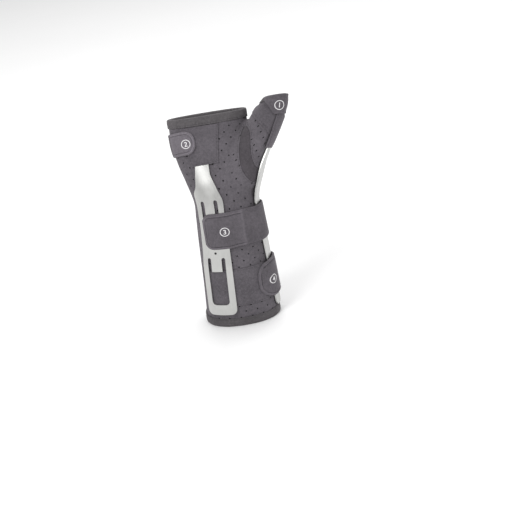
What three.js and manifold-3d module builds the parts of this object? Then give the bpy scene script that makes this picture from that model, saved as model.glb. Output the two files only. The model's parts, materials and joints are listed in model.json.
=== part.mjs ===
// Thumb spica splint for a right hand: a perforated foam-laminate sleeve from the forearm to the palm with
// a thumb tube, two formed aluminium stays, four hook-and-loop straps and the loop patches they fasten to.
// Millimetres. +Z runs up the forearm towards the hand, -Y is the palm side and +X the thumb side.
// The splint stands on the flat lower edge of its forearm cuff. It is built about the forearm's axis and
// then moved, so that the origin is under the middle of the whole.
import * as THREE from "three";
import { mergeVertices } from "three/addons/utils/BufferGeometryUtils.js";
import Module from "manifold-3d";

const wasm = await Module();
wasm.setup();

// Driving sizes of the sleeve
const wristHeight = 138; // cuff edge to the wrist crease
const handLength = 88; // wrist crease to the palm edge
const cuffWidth = 81;
const cuffDepth = 66;
const wristWidth = 67;
const wristDepth = 49;
const palmWidth = 85;
const palmDepth = 38;
const palmShift = -5; // the hand lies this far to the little-finger side
const thumbMouthWidth = 24;
const thumbMouthDepth = 26;
const thumbReach = 70.8; // thumb mouth's centre, out from the forearm's axis
const thumbRise = 98; // thumb mouth above the wrist crease
const thumbForward = -11; // thumb mouth's centre, in front of the hand's middle plane
const thenarWidth = 45; // the thumb tube where it leaves the hand
const thenarDepth = 38;
const wristBend = THREE.MathUtils.degToRad(20); // the hand is held back by this much
const bendStart = 118;
const bendLength = 40;
const dorsalRise = 6; // the back of the hand's edge above the palm edge
const squareness = 2.25; // exponent of the rounded sections
const wall = 2.6; // foam laminate
const gap = 0.3; // between pieces that touch

// Cloth and metal
const tapeThick = 0.9;
const palmTapeWidth = 8.5;
const cuffTapeWidth = 8;
const thumbTapeWidth = 4.5;
const patchThick = 0.9;
const strapThick = 1.8;
const thumbStrapThick = 1.4;
const stayThick = 1.8;
const thumbStayWidth = 16;
const thumbStayThick = 1.8;

// Facets: how finely the curved walls are divided
const armSides = 40;
const thumbSides = 28;

// How far cutters run past what they cut: a plate, the cuff, the palm edge with its rise, the thumb mouth
const overcut = 3;
const cuffOvercut = 8;
const palmOvercut = 16;
const thumbOvercut = 5;

const palmTop = wristHeight + handLength;
const thumbTop = wristHeight + thumbRise;

const mix = THREE.MathUtils.lerp;
const ease = (from, to, x) => THREE.MathUtils.smoothstep(x, from, to);
const raised = (value, exponent) => Math.sign(value) * Math.abs(value) ** exponent;
// How far a rounded corner draws an edge in, at a distance from the end
const roundedInset = (distance, radius) =>
  distance >= radius ? 0 : radius - Math.sqrt(radius ** 2 - (radius - distance) ** 2);

// Sections of the arm, as shares of the sizes above: up is the share of the forearm's or hand's length
const forearmSections = [
  { up: 0, swell: 1 },
  { up: 0.09, swell: 0.9 },
  { up: 0.33, swell: 0.62 },
  { up: 0.54, swell: 0.44 },
  { up: 0.72, swell: 0.28 },
  { up: 0.87, swell: 0.1 },
  { up: 1, swell: 0 },
].map(({ up, swell }) => ({
  s: up * wristHeight,
  x: 0,
  y: 0,
  width: mix(wristWidth, cuffWidth, swell),
  depth: mix(wristDepth, cuffDepth, swell),
}));
const handSections = [
  { up: 0.26, spread: 0.33, thin: 0.28, shift: 0.45 },
  { up: 0.46, spread: 0.66, thin: 0.52, shift: 0.78 },
  { up: 0.66, spread: 0.91, thin: 0.75, shift: 0.97 },
  { up: 0.83, spread: 1, thin: 0.9, shift: 1 },
  { up: 1, spread: 1, thin: 1, shift: 1 },
  { up: 1.3, spread: 1, thin: 1, shift: 1 },
].map(({ up, spread, thin, shift }) => ({
  s: wristHeight + up * handLength,
  x: shift * palmShift,
  y: 0,
  width: mix(wristWidth, palmWidth, spread),
  depth: mix(wristDepth, palmDepth, thin),
}));
// Sections of the thumb, from deep in the wrist to past its mouth
const thumbSections = [
  { up: -0.02, reach: 0.13, forward: 0.1, fat: 0.7, deep: 0.75 },
  { up: 0.1, reach: 0.22, forward: 0.3, fat: 1, deep: 0.92 },
  { up: 0.2, reach: 0.275, forward: 0.45, fat: 1.02, deep: 1 },
  { up: 0.31, reach: 0.345, forward: 0.55, fat: 1, deep: 1 },
  { up: 0.43, reach: 0.445, forward: 0.68, fat: 0.96, deep: 0.94 },
  { up: 0.53, reach: 0.55, forward: 0.78, fat: 0.88, deep: 0.84 },
  { up: 0.64, reach: 0.66, forward: 0.86, fat: 0.78, deep: 0.7 },
  { up: 0.77, reach: 0.785, forward: 0.93, fat: 0.63, deep: 0.47 },
  { up: 0.88, reach: 0.885, forward: 0.97, fat: 0.46, deep: 0.24 },
  { up: 1, reach: 1, forward: 1, fat: 0, deep: 0 },
  { up: 1.06, reach: 1.06, forward: 1.02, fat: -0.05, deep: 0 },
].map(({ up, reach, forward, fat, deep }) => ({
  s: wristHeight + up * thumbRise,
  x: reach * thumbReach,
  y: forward * thumbForward,
  width: mix(thumbMouthWidth, thenarWidth, fat),
  depth: mix(thumbMouthDepth, thenarDepth, deep),
}));

// The arm's middle line: straight, then an arc of the wrist bend, then straight
function spine(s) {
  const radius = bendLength / wristBend;
  const angle = THREE.MathUtils.clamp((s - bendStart) / radius, 0, wristBend);
  const past = Math.max(0, s - bendStart - bendLength);
  const below = Math.min(s, bendStart);
  return {
    y: radius * (1 - Math.cos(angle)) + past * Math.sin(angle),
    z: below + radius * Math.sin(angle) + past * Math.cos(angle),
    angle,
  };
}

// A smooth curve through one column of a table of sections
function columnAt(rows, key, s) {
  const last = rows.length - 2;
  const i = THREE.MathUtils.clamp(rows.findLastIndex((row) => row.s <= s), 0, last);
  const slope = (j) => {
    const before = rows[Math.max(j - 1, 0)];
    const after = rows[Math.min(j + 1, rows.length - 1)];
    return (after[key] - before[key]) / (after.s - before.s);
  };
  const [low, high] = [rows[i], rows[i + 1]];
  const span = high.s - low.s;
  const t = (s - low.s) / span;
  return (
    low[key] * (2 * t ** 3 - 3 * t ** 2 + 1) +
    high[key] * (3 * t ** 2 - 2 * t ** 3) +
    slope(i) * span * (t ** 3 - 2 * t ** 2 + t) +
    slope(i + 1) * span * (t ** 3 - t ** 2)
  );
}

// A limb is a stack of rounded sections. A place on it is s along it, u round it from the middle of the
// palm side (positive towards the thumb), and a height over the sleeve's outer face.
class Limb {
  constructor(sections) {
    this.sections = sections;
  }

  // theta is 0 at the middle of the palm side and 90 degrees at the thumb side
  place(theta, s, height) {
    const at = (key) => columnAt(this.sections, key, s);
    const [halfWidth, halfDepth] = [at("width") / 2, at("depth") / 2];
    const power = 2 / squareness;
    const [sin, cos] = [Math.sin(theta), Math.cos(theta)];
    const normal = new THREE.Vector2(
      raised(sin, 2 - power) / halfWidth,
      -raised(cos, 2 - power) / halfDepth,
    ).normalize();
    const x = at("x") + halfWidth * raised(sin, power) + height * normal.x;
    const back = at("y") - halfDepth * raised(cos, power) + height * normal.y;
    const { y, z, angle } = spine(s);
    return new THREE.Vector3(x, y + back * Math.cos(angle), z - back * Math.sin(angle));
  }

  // The angle that lies u round the section from the middle of the palm side
  angleAt(u, s) {
    const steps = 60;
    let [theta, walked, here] = [0, 0, this.place(0, s, 0)];
    const turn = (Math.sign(u) * Math.PI * 1.2) / steps;
    for (let i = 0; i < steps; i++) {
      const next = this.place(theta + turn, s, 0);
      const step = next.distanceTo(here);
      if (walked + step >= Math.abs(u)) return theta + (turn * (Math.abs(u) - walked)) / step;
      [theta, walked, here] = [theta + turn, walked + step, next];
    }
    return theta;
  }

  // How far round the section an angle lies from the middle of the palm side
  girthTo(theta, s) {
    const points = spread(0, theta, 0.03).map((angle) => this.place(angle, s, 0));
    return points.slice(1).reduce((sum, point, i) => sum + point.distanceTo(points[i]), 0);
  }

  wrap(u, s, height) {
    return this.place(this.angleAt(u, s), s, height);
  }
}

const arm = new Limb([...forearmSections, ...handSections]);
const thumb = new Limb(thumbSections);

// Closed geometry from points and faces, where a face is a list of three or four point numbers
function geometryOf(points, faces) {
  const positions = faces.flatMap((face) =>
    (face.length === 3 ? [face] : [[face[0], face[1], face[2]], [face[0], face[2], face[3]]])
      .flat()
      .flatMap((i) => points[i].toArray()),
  );
  const geometry = new THREE.BufferGeometry();
  geometry.setAttribute("position", new THREE.Float32BufferAttribute(positions, 3));
  return geometry;
}

function solidOf(geometry) {
  const bare = geometry.clone();
  bare.deleteAttribute("normal");
  bare.deleteAttribute("uv");
  const merged = mergeVertices(bare, 1e-4);
  return new wasm.Manifold(
    new wasm.Mesh({
      numProp: 3,
      vertProperties: merged.attributes.position.array,
      triVerts: new Uint32Array(merged.index.array),
    }),
  );
}

function geometryFrom(solid) {
  const mesh = solid.getMesh();
  const geometry = new THREE.BufferGeometry();
  geometry.setAttribute("position", new THREE.BufferAttribute(mesh.vertProperties, 3));
  geometry.setIndex(new THREE.BufferAttribute(mesh.triVerts, 1));
  return geometry;
}

// A solid plug through rings of points, closed at both ends
function plug(rings) {
  const sides = rings[0].length;
  const points = rings.flat();
  const faces = [];
  rings.slice(1).forEach((_, r) => {
    for (let i = 0; i < sides; i++) {
      const j = (i + 1) % sides;
      faces.push([r * sides + i, r * sides + j, (r + 1) * sides + j, (r + 1) * sides + i]);
    }
  });
  const top = (rings.length - 1) * sides;
  for (let i = 1; i < sides - 1; i++) {
    faces.push([0, i + 1, i]);
    faces.push([top, top + i, top + i + 1]);
  }
  return geometryOf(points, faces);
}

// The limb's outline at a height over the sleeve, through stations that each give s at an angle
function limbPlug(limb, sides, stations, height) {
  const angles = Array.from({ length: sides }, (_, k) => (k / sides) * 2 * Math.PI);
  const rings = stations.map((station) =>
    angles.map((theta) => limb.place(theta, station(theta, height), height)),
  );
  return plug(rings);
}

// A band of constant profile round a limb. A corner of the profile is {height, s}, s a function of theta.
function ring(limb, sides, profile) {
  const points = [];
  for (let k = 0; k < sides; k++) {
    const theta = (k / sides) * 2 * Math.PI;
    profile.forEach(({ height, s }) => points.push(limb.place(theta, s(theta), height)));
  }
  const corners = profile.length;
  const faces = [];
  for (let k = 0; k < sides; k++) {
    const [here, next] = [k * corners, ((k + 1) % sides) * corners];
    for (let c = 0; c < corners; c++) {
      const d = (c + 1) % corners;
      faces.push([here + c, here + d, next + d, next + c]);
    }
  }
  return geometryOf(points, faces);
}

// Binding tape folded over a sleeve edge; direction is 1 for an upper edge and -1 for a lower one
function foldedTape(limb, sides, edge, width, direction) {
  const outside = gap;
  const inside = -(wall + gap);
  const corner = (height, past) => ({ height, s: (theta) => edge(theta, height) + direction * past });
  const profile = [
    corner(outside + tapeThick, -width),
    corner(outside + tapeThick, gap + tapeThick),
    corner(inside - tapeThick, gap + tapeThick),
    corner(inside - tapeThick, -width),
    corner(inside, -width),
    corner(inside, gap),
    corner(outside, gap),
    corner(outside, -width),
  ];
  return ring(limb, sides, direction > 0 ? profile.reverse() : profile);
}

// A sheet laid on a limb. grid is its places as columns of {u, s}, and base gives its under face's height.
function sheet(limb, grid, base, thick) {
  const line = grid[0].length;
  const face = grid.length * line;
  const points = [0, thick].flatMap((over) =>
    grid.flatMap((column) => column.map(({ u, s }) => limb.wrap(u, s, base(u, s) + over))),
  );
  const faces = [];
  for (let c = 0; c < grid.length - 1; c++) {
    for (let r = 0; r < line - 1; r++) {
      const [a, b] = [c * line + r, (c + 1) * line + r];
      faces.push([a, a + 1, b + 1, b]);
      faces.push([face + a, face + b, face + b + 1, face + a + 1]);
    }
  }
  const rim = [];
  for (let c = 0; c < grid.length - 1; c++) rim.push(c * line);
  for (let r = 0; r < line - 1; r++) rim.push((grid.length - 1) * line + r);
  for (let c = grid.length - 1; c > 0; c--) rim.push(c * line + line - 1);
  for (let r = line - 1; r > 0; r--) rim.push(r);
  rim.forEach((a, i) => {
    const b = rim[(i + 1) % rim.length];
    faces.push([a, b, face + b, face + a]);
  });
  return geometryOf(points, faces);
}

// Grid of a piece given as columns of {u, low, high}: its lower and upper edge at u
function columnGrid(columns, rows) {
  return columns.map(({ u, low, high }) =>
    spread(0, 1, 1 / rows).map((share) => ({ u, s: mix(low, high, share) })),
  );
}

// Grid of a piece given as levels of s, with its left and right edge at each
function levelGrid(levels, left, right, columns) {
  return spread(0, 1, 1 / columns).map((share) =>
    levels.map((s) => ({ u: mix(left(s), right(s), share), s })),
  );
}

// Evenly spaced numbers from one value to another, no further apart than the step
function spread(from, to, step) {
  const count = Math.max(1, Math.ceil(Math.abs(to - from) / step));
  return Array.from({ length: count + 1 }, (_, i) => mix(from, to, i / count));
}

// Columns of a strap that ends in a rounded tab, from its tip to its sewn end, whichever way that is
function strapColumns({ tip, sewn, low, high, corner }) {
  const way = Math.sign(sewn - tip);
  const cornerShares = [0.04, 0.16, 0.36, 0.64, 1];
  const rounded = cornerShares.map((share) => {
    const inset = corner * (1 - Math.sqrt(1 - (1 - share) ** 2));
    return { u: tip + way * corner * share, low: low + inset, high: high - inset };
  });
  const straight = spread(tip + way * corner, sewn, 6)
    .slice(1)
    .map((u) => ({ u, low, high }));
  const columns = [...rounded, ...straight];
  return way > 0 ? columns : columns.reverse();
}

// Straps and patches, as places on the limb: low and high run along it, tip, sewn, left and right round it
const handStrap = { tip: -16.3, sewn: -128, low: 188.3, high: 213.7, corner: 11 };
const wristStrap = { tip: -27.2, sewn: 128, low: 90.5, high: 128, corner: 8 };
const forearmStrap = { tip: 21.5, sewn: 142, low: 24.5, high: 66, corner: 17 };
const forearmPatch = { low: 23, high: 65, leftLow: -43, leftHigh: -43, rightLow: 32, rightHigh: 32 };
const palmPatch = { low: 175, high: 216.8, leftLow: -25, leftHigh: -32.6, rightLow: 3.7, rightHigh: 11.6 };

// The palm stay laid flat: its middle line and half width at places along it, from its foot to its tongue
const stayFoot = 15;
const stayTop = 180;
const stayLength = stayTop - stayFoot;
const stayWidth = 31;
const stayCorner = 6;
const stayOutline = [
  { up: 0, middle: -22.2, half: 0.52 },
  { up: 0.14, middle: -21.3, half: 0.52 },
  { up: 0.36, middle: -19.5, half: 0.505 },
  { up: 0.51, middle: -18.2, half: 0.48 },
  { up: 0.61, middle: -17.5, half: 0.462 },
  { up: 0.69, middle: -17.5, half: 0.468 },
  { up: 0.745, middle: -17.3, half: 0.48 },
  { up: 0.77, middle: -17.7, half: 0.468 },
  { up: 0.806, middle: -18.4, half: 0.428 },
  { up: 0.836, middle: -17.1, half: 0.345 },
  { up: 0.867, middle: -16.8, half: 0.294 },
  { up: 0.903, middle: -16.5, half: 0.258 },
  { up: 0.964, middle: -14.7, half: 0.232 },
  { up: 1, middle: -14.2, half: 0.232 },
].map(({ up, middle, half }) => ({ s: stayFoot + up * stayLength, middle, half: half * stayWidth }));
const windowHalf = 9.4;
const windowLow = 26.5;
const windowHigh = 65; // lower end of the tongue that hangs into the window
const windowCorner = 4;
const slotWidth = 3.8;
const slotTop = 80.5;
const wristSlots = { apart: 14, low: 112, high: 140 };
const stayHole = { s: 86, radius: 1.3 };

// The thumb stay: a straight-sided strip up the thumb side, its face turned a little towards the palm
const thumbStayFoot = 10;
const thumbStayTop = 211;
const thumbStayTheta = THREE.MathUtils.degToRad(76);
const thumbStayTurn = THREE.MathUtils.degToRad(16);
const thumbStayStandoff = 0.5;
const thumbStayTaper = 0.72; // its width in the pocket, as a share
const thumbStayTaperLength = 20;
const thumbStayBridge = { from: wristHeight - 10, to: wristHeight + 20 }; // over the hollow of the wrist
const thumbSideRadius = 20; // of the sleeve under the strip, whose edges so stand off it
const thumbStayRoof = (width) =>
  thumbStayStandoff + thumbStayThick + width ** 2 / (8 * thumbSideRadius) + gap;
const stayPocket = { low: 182, high: 226, leftLow: 17.5, leftHigh: 9.5, rightLow: 41, rightHigh: 33 };
const thumbBand = { left: -22, right: 15, leftLow: 223, rightLow: 196, high: 229 };
const thumbStrap = {
  tip: -12,
  sewn: 46,
  low: 216,
  high: thumbTop + 0.5,
  tipLow: 229,
  kneeLow: 224.5,
  knee: 0,
  heel: 8,
};

// Outline of the thenar gusset: out from the forearm's axis and up along the hand
const gussetOutline = [
  { x: 62, s: 161.5 },
  { x: 41, s: 163 },
  { x: 36, s: 172 },
  { x: 35.8, s: 184 },
  { x: 37.4, s: 197 },
  { x: 37.2, s: 205 },
  { x: 34.5, s: 210 },
  { x: 30.5, s: 206 },
  { x: 26.2, s: 195.5 },
  { x: 22.9, s: 182 },
  { x: 22.6, s: 168 },
  { x: 25, s: 158.5 },
  { x: 29.5, s: 152.5 },
  { x: 36, s: 150 },
  { x: 62, s: 150.5 },
];
const gussetFront = -75;
const gussetBack = -6;

// Heights over the sleeve at which the layers lie
const patchTop = gap + patchThick;
const stayOverPatch = patchTop + gap;
const clearance = gap + 0.1; // under long pieces, whose facets cut a curve's corners
const stayOnSleeve = clearance;
const stayStep = { from: forearmPatch.high + 3, to: forearmPatch.high + 25 }; // down off the forearm patch
const stayBase = (s) => mix(stayOverPatch, stayOnSleeve, ease(stayStep.from, stayStep.to, s));
const stayRoof = (s) => stayBase(s) + stayThick + gap;

// How much of a lift of the cloth is left at a distance from what it lies over
const fading = (distance, ramp) => 1 - ease(0, ramp, distance);
const beyond = (value, low, high) => Math.max(low - value, value - high, 0);

// Where the palm stay's edges are at s
function stayEdges(s) {
  const middle = columnAt(stayOutline, "middle", s);
  const half = columnAt(stayOutline, "half", s) - roundedInset(s - stayFoot, stayCorner);
  return [middle - half, middle + half];
}

// Where the thumb side of the sleeve lies under the thumb stay's middle line
function thumbSideAt(s) {
  const { y, angle } = spine(s);
  const section = (limb) => {
    const point = limb.place(thumbStayTheta, s, thumbStayStandoff);
    return { x: point.x, back: (point.y - y) / Math.cos(angle) };
  };
  const onArm = section(arm);
  const onThumb = s < thumbSections[0].s ? onArm : section(thumb);
  const softness = 2.5;
  const lead = s < thumbSections[0].s ? 0 : ease(thumbSections[0].s, thumbSections[1].s, s);
  const toThumb = (onThumb.x - onArm.x) / softness;
  return {
    x: onArm.x + lead * softness * Math.log(1 + Math.exp(toThumb)),
    back: mix(onArm.back, onThumb.back, lead / (1 + Math.exp(-toThumb))),
  };
}

// A strip of metal leaves the sleeve and lands on it again in one smooth curve
function bridged(key, { from, to }, s) {
  if (s <= from || s >= to) return thumbSideAt(s)[key];
  const length = to - from;
  const t = (s - from) / length;
  const [start, stop] = [thumbSideAt(from)[key], thumbSideAt(to)[key]];
  const leaving = start - thumbSideAt(from - 1)[key];
  const landing = thumbSideAt(to + 1)[key] - stop;
  return (
    start * (2 * t ** 3 - 3 * t ** 2 + 1) +
    stop * (3 * t ** 2 - 2 * t ** 3) +
    leaving * length * (t ** 3 - 2 * t ** 2 + t) +
    landing * length * (t ** 3 - t ** 2)
  );
}

// A place on the thumb stay: along it, across it from its middle, and over its inner face
function thumbStayPlace(s, across, over) {
  const { y, z, angle } = spine(s);
  const x = bridged("x", thumbStayBridge, s);
  const back = bridged("back", thumbStayBridge, s);
  const out = x + over * Math.cos(thumbStayTurn) + across * Math.sin(thumbStayTurn);
  const depth = back + across * Math.cos(thumbStayTurn) - over * Math.sin(thumbStayTurn);
  return new THREE.Vector3(out, y + depth * Math.cos(angle), z - depth * Math.sin(angle));
}

const thumbStayWidthAt = (s) =>
  thumbStayWidth * mix(1, thumbStayTaper, ease(stayPocket.low - thumbStayTaperLength, stayPocket.low, s));

function thumbStayGeometry() {
  const ends = [0, 0.3, 1].map((share) => share * stayCorner);
  const stations = [
    ...ends.map((end) => thumbStayFoot + end),
    ...spread(thumbStayFoot + stayCorner, thumbStayTop - stayCorner, 8).slice(1, -1),
    ...ends.reverse().map((end) => thumbStayTop - end),
  ];
  return plug(
    stations.map((s) => {
      const fromEnd = Math.min(s - thumbStayFoot, thumbStayTop - s);
      const half = thumbStayWidthAt(s) / 2 - roundedInset(fromEnd, stayCorner * 0.9);
      return [
        thumbStayPlace(s, -half, 0),
        thumbStayPlace(s, -half, thumbStayThick),
        thumbStayPlace(s, half, thumbStayThick),
        thumbStayPlace(s, half, 0),
      ];
    }),
  );
}

// A cutter through the palm stay, from its outline as {across, s} about the stay's middle line
function stayCutter(outline) {
  const level = (height) =>
    outline.map(({ across, s }) => arm.wrap(columnAt(stayOutline, "middle", s) + across, s, height));
  const flat = outline.map(({ across, s }) => new THREE.Vector2(across, s));
  return prism(level(stayOverPatch + stayThick + overcut), level(-overcut), flat);
}

// A closed outline through the points of a path, as {across, s}
const outlineOf = (path) => path.getPoints(4).map(({ x, y }) => ({ across: x, s: y }));

function palmStaySolid() {
  const levels = [0, 0.15, 0.5, 1].map((share) => stayFoot + share * stayCorner);
  levels.push(...spread(stayFoot + stayCorner, stayTop, 6.5).slice(1));
  const edge = (side) => (s) => stayEdges(s)[side];
  const blank = sheet(arm, levelGrid(levels, edge(0), edge(1), 6), (u, s) => stayBase(s), stayThick);

  const round = slotWidth / 2;
  const window = new THREE.Path();
  window.moveTo(-windowHalf + windowCorner, windowLow);
  window.lineTo(windowHalf - windowCorner, windowLow);
  window.quadraticCurveTo(windowHalf, windowLow, windowHalf, windowLow + windowCorner);
  window.lineTo(windowHalf, slotTop - round);
  window.absarc(windowHalf - round, slotTop - round, round, 0, Math.PI);
  window.lineTo(windowHalf - slotWidth, windowHigh);
  window.lineTo(-windowHalf + slotWidth, windowHigh);
  window.lineTo(-windowHalf + slotWidth, slotTop - round);
  window.absarc(-windowHalf + round, slotTop - round, round, 0, Math.PI);
  window.lineTo(-windowHalf, windowLow + windowCorner);
  window.quadraticCurveTo(-windowHalf, windowLow, -windowHalf + windowCorner, windowLow);
  const openings = [window];
  [-1, 1].forEach((side) => {
    const slot = new THREE.Path();
    slot.absarc((side * wristSlots.apart) / 2, wristSlots.high - round, round, 0, Math.PI);
    slot.absarc((side * wristSlots.apart) / 2, wristSlots.low + round, round, Math.PI, 2 * Math.PI);
    openings.push(slot);
  });
  openings.push(new THREE.Path().absarc(0, stayHole.s, stayHole.radius, 0, 2 * Math.PI));
  return openings.reduce((solid, path) => solid.subtract(stayCutter(outlineOf(path))), solidOf(blank));
}

// A prism through the front wall, inside the gusset's outline moved in by an inset
function gussetPrism(inset) {
  const count = gussetOutline.length;
  const moved = gussetOutline.map(({ x, s }, i) => {
    const before = gussetOutline[(i + count - 1) % count];
    const after = gussetOutline[(i + 1) % count];
    const along = new THREE.Vector2(after.x - before.x, after.s - before.s).normalize();
    return new THREE.Vector2(x - inset * along.y, s + inset * along.x);
  });
  const level = (back) =>
    moved.map(({ x, y: s }) => {
      const { y, z, angle } = spine(s);
      return new THREE.Vector3(x, y + back * Math.cos(angle), z - back * Math.sin(angle));
    });
  return prism(level(gussetFront), level(gussetBack), moved);
}

// A solid between two faces of the same outline, which runs anticlockwise seen from in front
function prism(front, rear, outline) {
  const repeated = outline[0].distanceTo(outline.at(-1)) < 1e-6;
  const count = repeated ? outline.length - 1 : outline.length;
  const corners = outline.slice(0, count);
  const faces = THREE.ShapeUtils.triangulateShape(corners, []).flatMap(([a, b, c]) => [
    [a, b, c],
    [count + a, count + c, count + b],
  ]);
  corners.forEach((_, i) => {
    const j = (i + 1) % count;
    faces.push([i, count + i, count + j, j]);
  });
  return solidOf(geometryOf([...front.slice(0, count), ...rear.slice(0, count)], faces));
}

function sleeveSolid() {
  const constant = (s) => () => s;
  const foot = gap + tapeThick;
  const levels = [...spread(foot, bendStart, 17), ...spread(bendStart, palmTop, 10).slice(1, -1)];
  const armStations = [...levels.map(constant), palmEdge];
  const outer = solidOf(limbPlug(arm, armSides, armStations, 0));
  const hollow = [constant(foot - cuffOvercut), ...armStations, constant(palmTop + palmOvercut)];
  const inner = solidOf(limbPlug(arm, armSides, hollow, -wall));
  const thumbFoot = thumbSections[0].s;
  const thumbStations = spread(thumbFoot + 4, thumbTop, 10).map(constant);
  const thumbOuter = solidOf(limbPlug(thumb, thumbSides, thumbStations, 0));
  const thumbHollow = [constant(thumbFoot), ...thumbStations, constant(thumbTop + thumbOvercut)];
  const thumbInner = solidOf(limbPlug(thumb, thumbSides, thumbHollow, -wall));
  return outer.add(thumbOuter).subtract(inner.add(thumbInner));
}

// The palm edge runs a little higher on the back of the hand
function palmEdge(theta, height) {
  const back = raised(Math.cos(theta), 2 / squareness) * (1 + (2 * height) / palmDepth);
  return palmTop + (dorsalRise * (1 - back)) / 2;
}

// Where a patch's left and right edges are at s
function patchSides({ low, high, leftLow, leftHigh, rightLow, rightHigh }, s) {
  const share = (s - low) / (high - low);
  return [mix(leftLow, leftHigh, share), mix(rightLow, rightHigh, share)];
}

// How far past a piece the cloth over it stays level, and over what length it then comes down
const overPatch = { level: 2, ramp: 5 };
const overPalmStay = { level: 3, ramp: 8 };
const overThumbStay = { level: 2, ramp: 9 };
const overTongue = { level: 2, ramp: 6, tip: 1.5 };
const overStrip = { level: 1.5, ramp: 7, tip: 1 };
const overPocket = { level: 2, ramp: 7 };
const pastBand = { level: 2, ramp: 5 };

// Straps lie close to the sleeve and rise over the patches and the two stays
function strapBase(u, s) {
  const patches = [palmPatch, forearmPatch].map((patch) => {
    const { level, ramp } = overPatch;
    const [left, right] = patchSides(patch, s);
    const across = beyond(u, left - level, right + level);
    const along = beyond(s, patch.low - level, patch.high + level);
    return patchTop * fading(Math.hypot(across, along), ramp);
  });
  const [left, right] = stayEdges(s);
  const fromStay = beyond(u, left - overPalmStay.level, right + overPalmStay.level);
  const palmStay = stayRoof(s) * fading(fromStay, overPalmStay.ramp);
  const stripEdge = thumbStayWidth / 2 + overThumbStay.level;
  const fromStrip = Math.max(Math.abs(u - arm.girthTo(thumbStayTheta, s)) - stripEdge, 0);
  const thumbStay = thumbStayRoof(thumbStayWidth) * fading(fromStrip, overThumbStay.ramp);
  return Math.max(clearance + Math.max(...patches), palmStay, thumbStay);
}

function palmPatchBase(u, s) {
  const { level, ramp, tip } = overTongue;
  const [left, right] = stayEdges(Math.min(s, stayTop));
  const aside = Math.hypot(beyond(u, left - level, right + level), Math.max(s - stayTop - tip, 0));
  return gap + (stayOnSleeve + stayThick) * fading(aside, ramp);
}

// The pocket lies on the thumb's band at its front, and close to the sleeve past it
function pocketBase(u, s) {
  const { level, ramp, tip } = overStrip;
  const onBand = fading(Math.max(u - thumbBand.right - pastBand.level, 0), pastBand.ramp);
  const rest = mix(gap + clearance, patchTop + gap, onBand);
  const width = thumbStayWidth * thumbStayTaper;
  const across = Math.max(Math.abs(u - thumb.girthTo(thumbStayTheta, s)) - width / 2 - level, 0);
  const aside = Math.hypot(across, Math.max(s - thumbStayTop - tip, 0));
  return rest + (thumbStayRoof(width) - rest) * fading(aside, ramp);
}

// The thumb strap lies over the pocket and comes down on the thumb mouth's tape
function thumbStrapBase(u, s) {
  const overTape = gap + tapeThick + clearance;
  const share = fading(Math.max(s - stayPocket.high - overPocket.level, 0), overPocket.ramp);
  const overPocketCloth = Math.max(pocketBase(u, s), patchTop + gap) + patchThick + clearance;
  return mix(overTape, overPocketCloth, share);
}

const group = new THREE.Group();

function add(name, geometry, color, roughness, metalness) {
  const material = new THREE.MeshStandardMaterial({ color, roughness, metalness });
  const mesh = new THREE.Mesh(geometry, material);
  mesh.name = name;
  group.add(mesh);
}
const addCloth = (name, geometry, color) => add(name, geometry, color, 0.9, 0);
const addMetal = (name, geometry) => add(name, geometry, 0xd0d0cc, 0.4, 0.9);

const shell = sleeveSolid();
addCloth("sleeve", geometryFrom(shell.subtract(gussetPrism(0))), 0x645f65);
addCloth("thenar_gusset", geometryFrom(shell.intersect(gussetPrism(gap))), 0x5a5458);
addCloth("palm_binding", foldedTape(arm, armSides, palmEdge, palmTapeWidth, 1), 0x5f5e60);
addCloth("cuff_binding", foldedTape(arm, armSides, () => gap + tapeThick, cuffTapeWidth, -1), 0x5f5e60);
addCloth("thumb_binding", foldedTape(thumb, thumbSides, () => thumbTop, thumbTapeWidth, 1), 0x5f5e60);

function addPatch(name, patch, limb, steps, base, color) {
  const side = (which) => (s) => patchSides(patch, s)[which];
  const grid = levelGrid(spread(patch.low, patch.high, steps.along), side(0), side(1), steps.across);
  addCloth(name, sheet(limb, grid, base, patchThick), color);
}

function addStrap(name, strap, color) {
  addCloth(name, sheet(arm, columnGrid(strapColumns(strap), 4), strapBase, strapThick), color);
}

addPatch("palm_patch", palmPatch, arm, { along: 4.2, across: 9 }, palmPatchBase, 0x67636a);
addPatch("forearm_patch", forearmPatch, arm, { along: 11, across: 14 }, () => gap, 0x605c62);
addMetal("palm_stay", geometryFrom(palmStaySolid()));
addMetal("thumb_stay", thumbStayGeometry());
addPatch("stay_pocket", stayPocket, thumb, { along: 4.5, across: 8 }, pocketBase, 0x625e62);
const bandShare = (u) => (u - thumbBand.left) / (thumbBand.right - thumbBand.left);
const bandColumns = spread(thumbBand.left, thumbBand.right, 3.8).map((u) => ({
  u,
  low: mix(thumbBand.leftLow, thumbBand.rightLow, bandShare(u)),
  high: thumbBand.high,
}));
addCloth("thumb_band", sheet(thumb, columnGrid(bandColumns, 6), () => clearance, patchThick), 0x605b61);
const thumbStrapColumns = spread(thumbStrap.tip, thumbStrap.sewn, 3.8).map((u) => {
  const { tip, knee, heel, tipLow, kneeLow, low, high } = thumbStrap;
  const first = mix(tipLow, kneeLow, (u - tip) / (knee - tip));
  const second = mix(kneeLow, low, (u - knee) / (heel - knee));
  return { u, low: Math.max(u < knee ? first : second, low), high };
});
const thumbStrapGrid = columnGrid(thumbStrapColumns, 6);
addCloth("thumb_strap", sheet(thumb, thumbStrapGrid, thumbStrapBase, thumbStrapThick), 0x625e62);
addStrap("hand_strap", handStrap, 0x6e6b68);
addStrap("wrist_strap", wristStrap, 0x625e62);
addStrap("forearm_strap", forearmStrap, 0x625e62);

const bounds = new THREE.Box3().setFromObject(group);
const middle = bounds.getCenter(new THREE.Vector3());
group.children.forEach((mesh) => mesh.geometry.translate(-middle.x, -middle.y, -bounds.min.z));

export default group;
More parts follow.
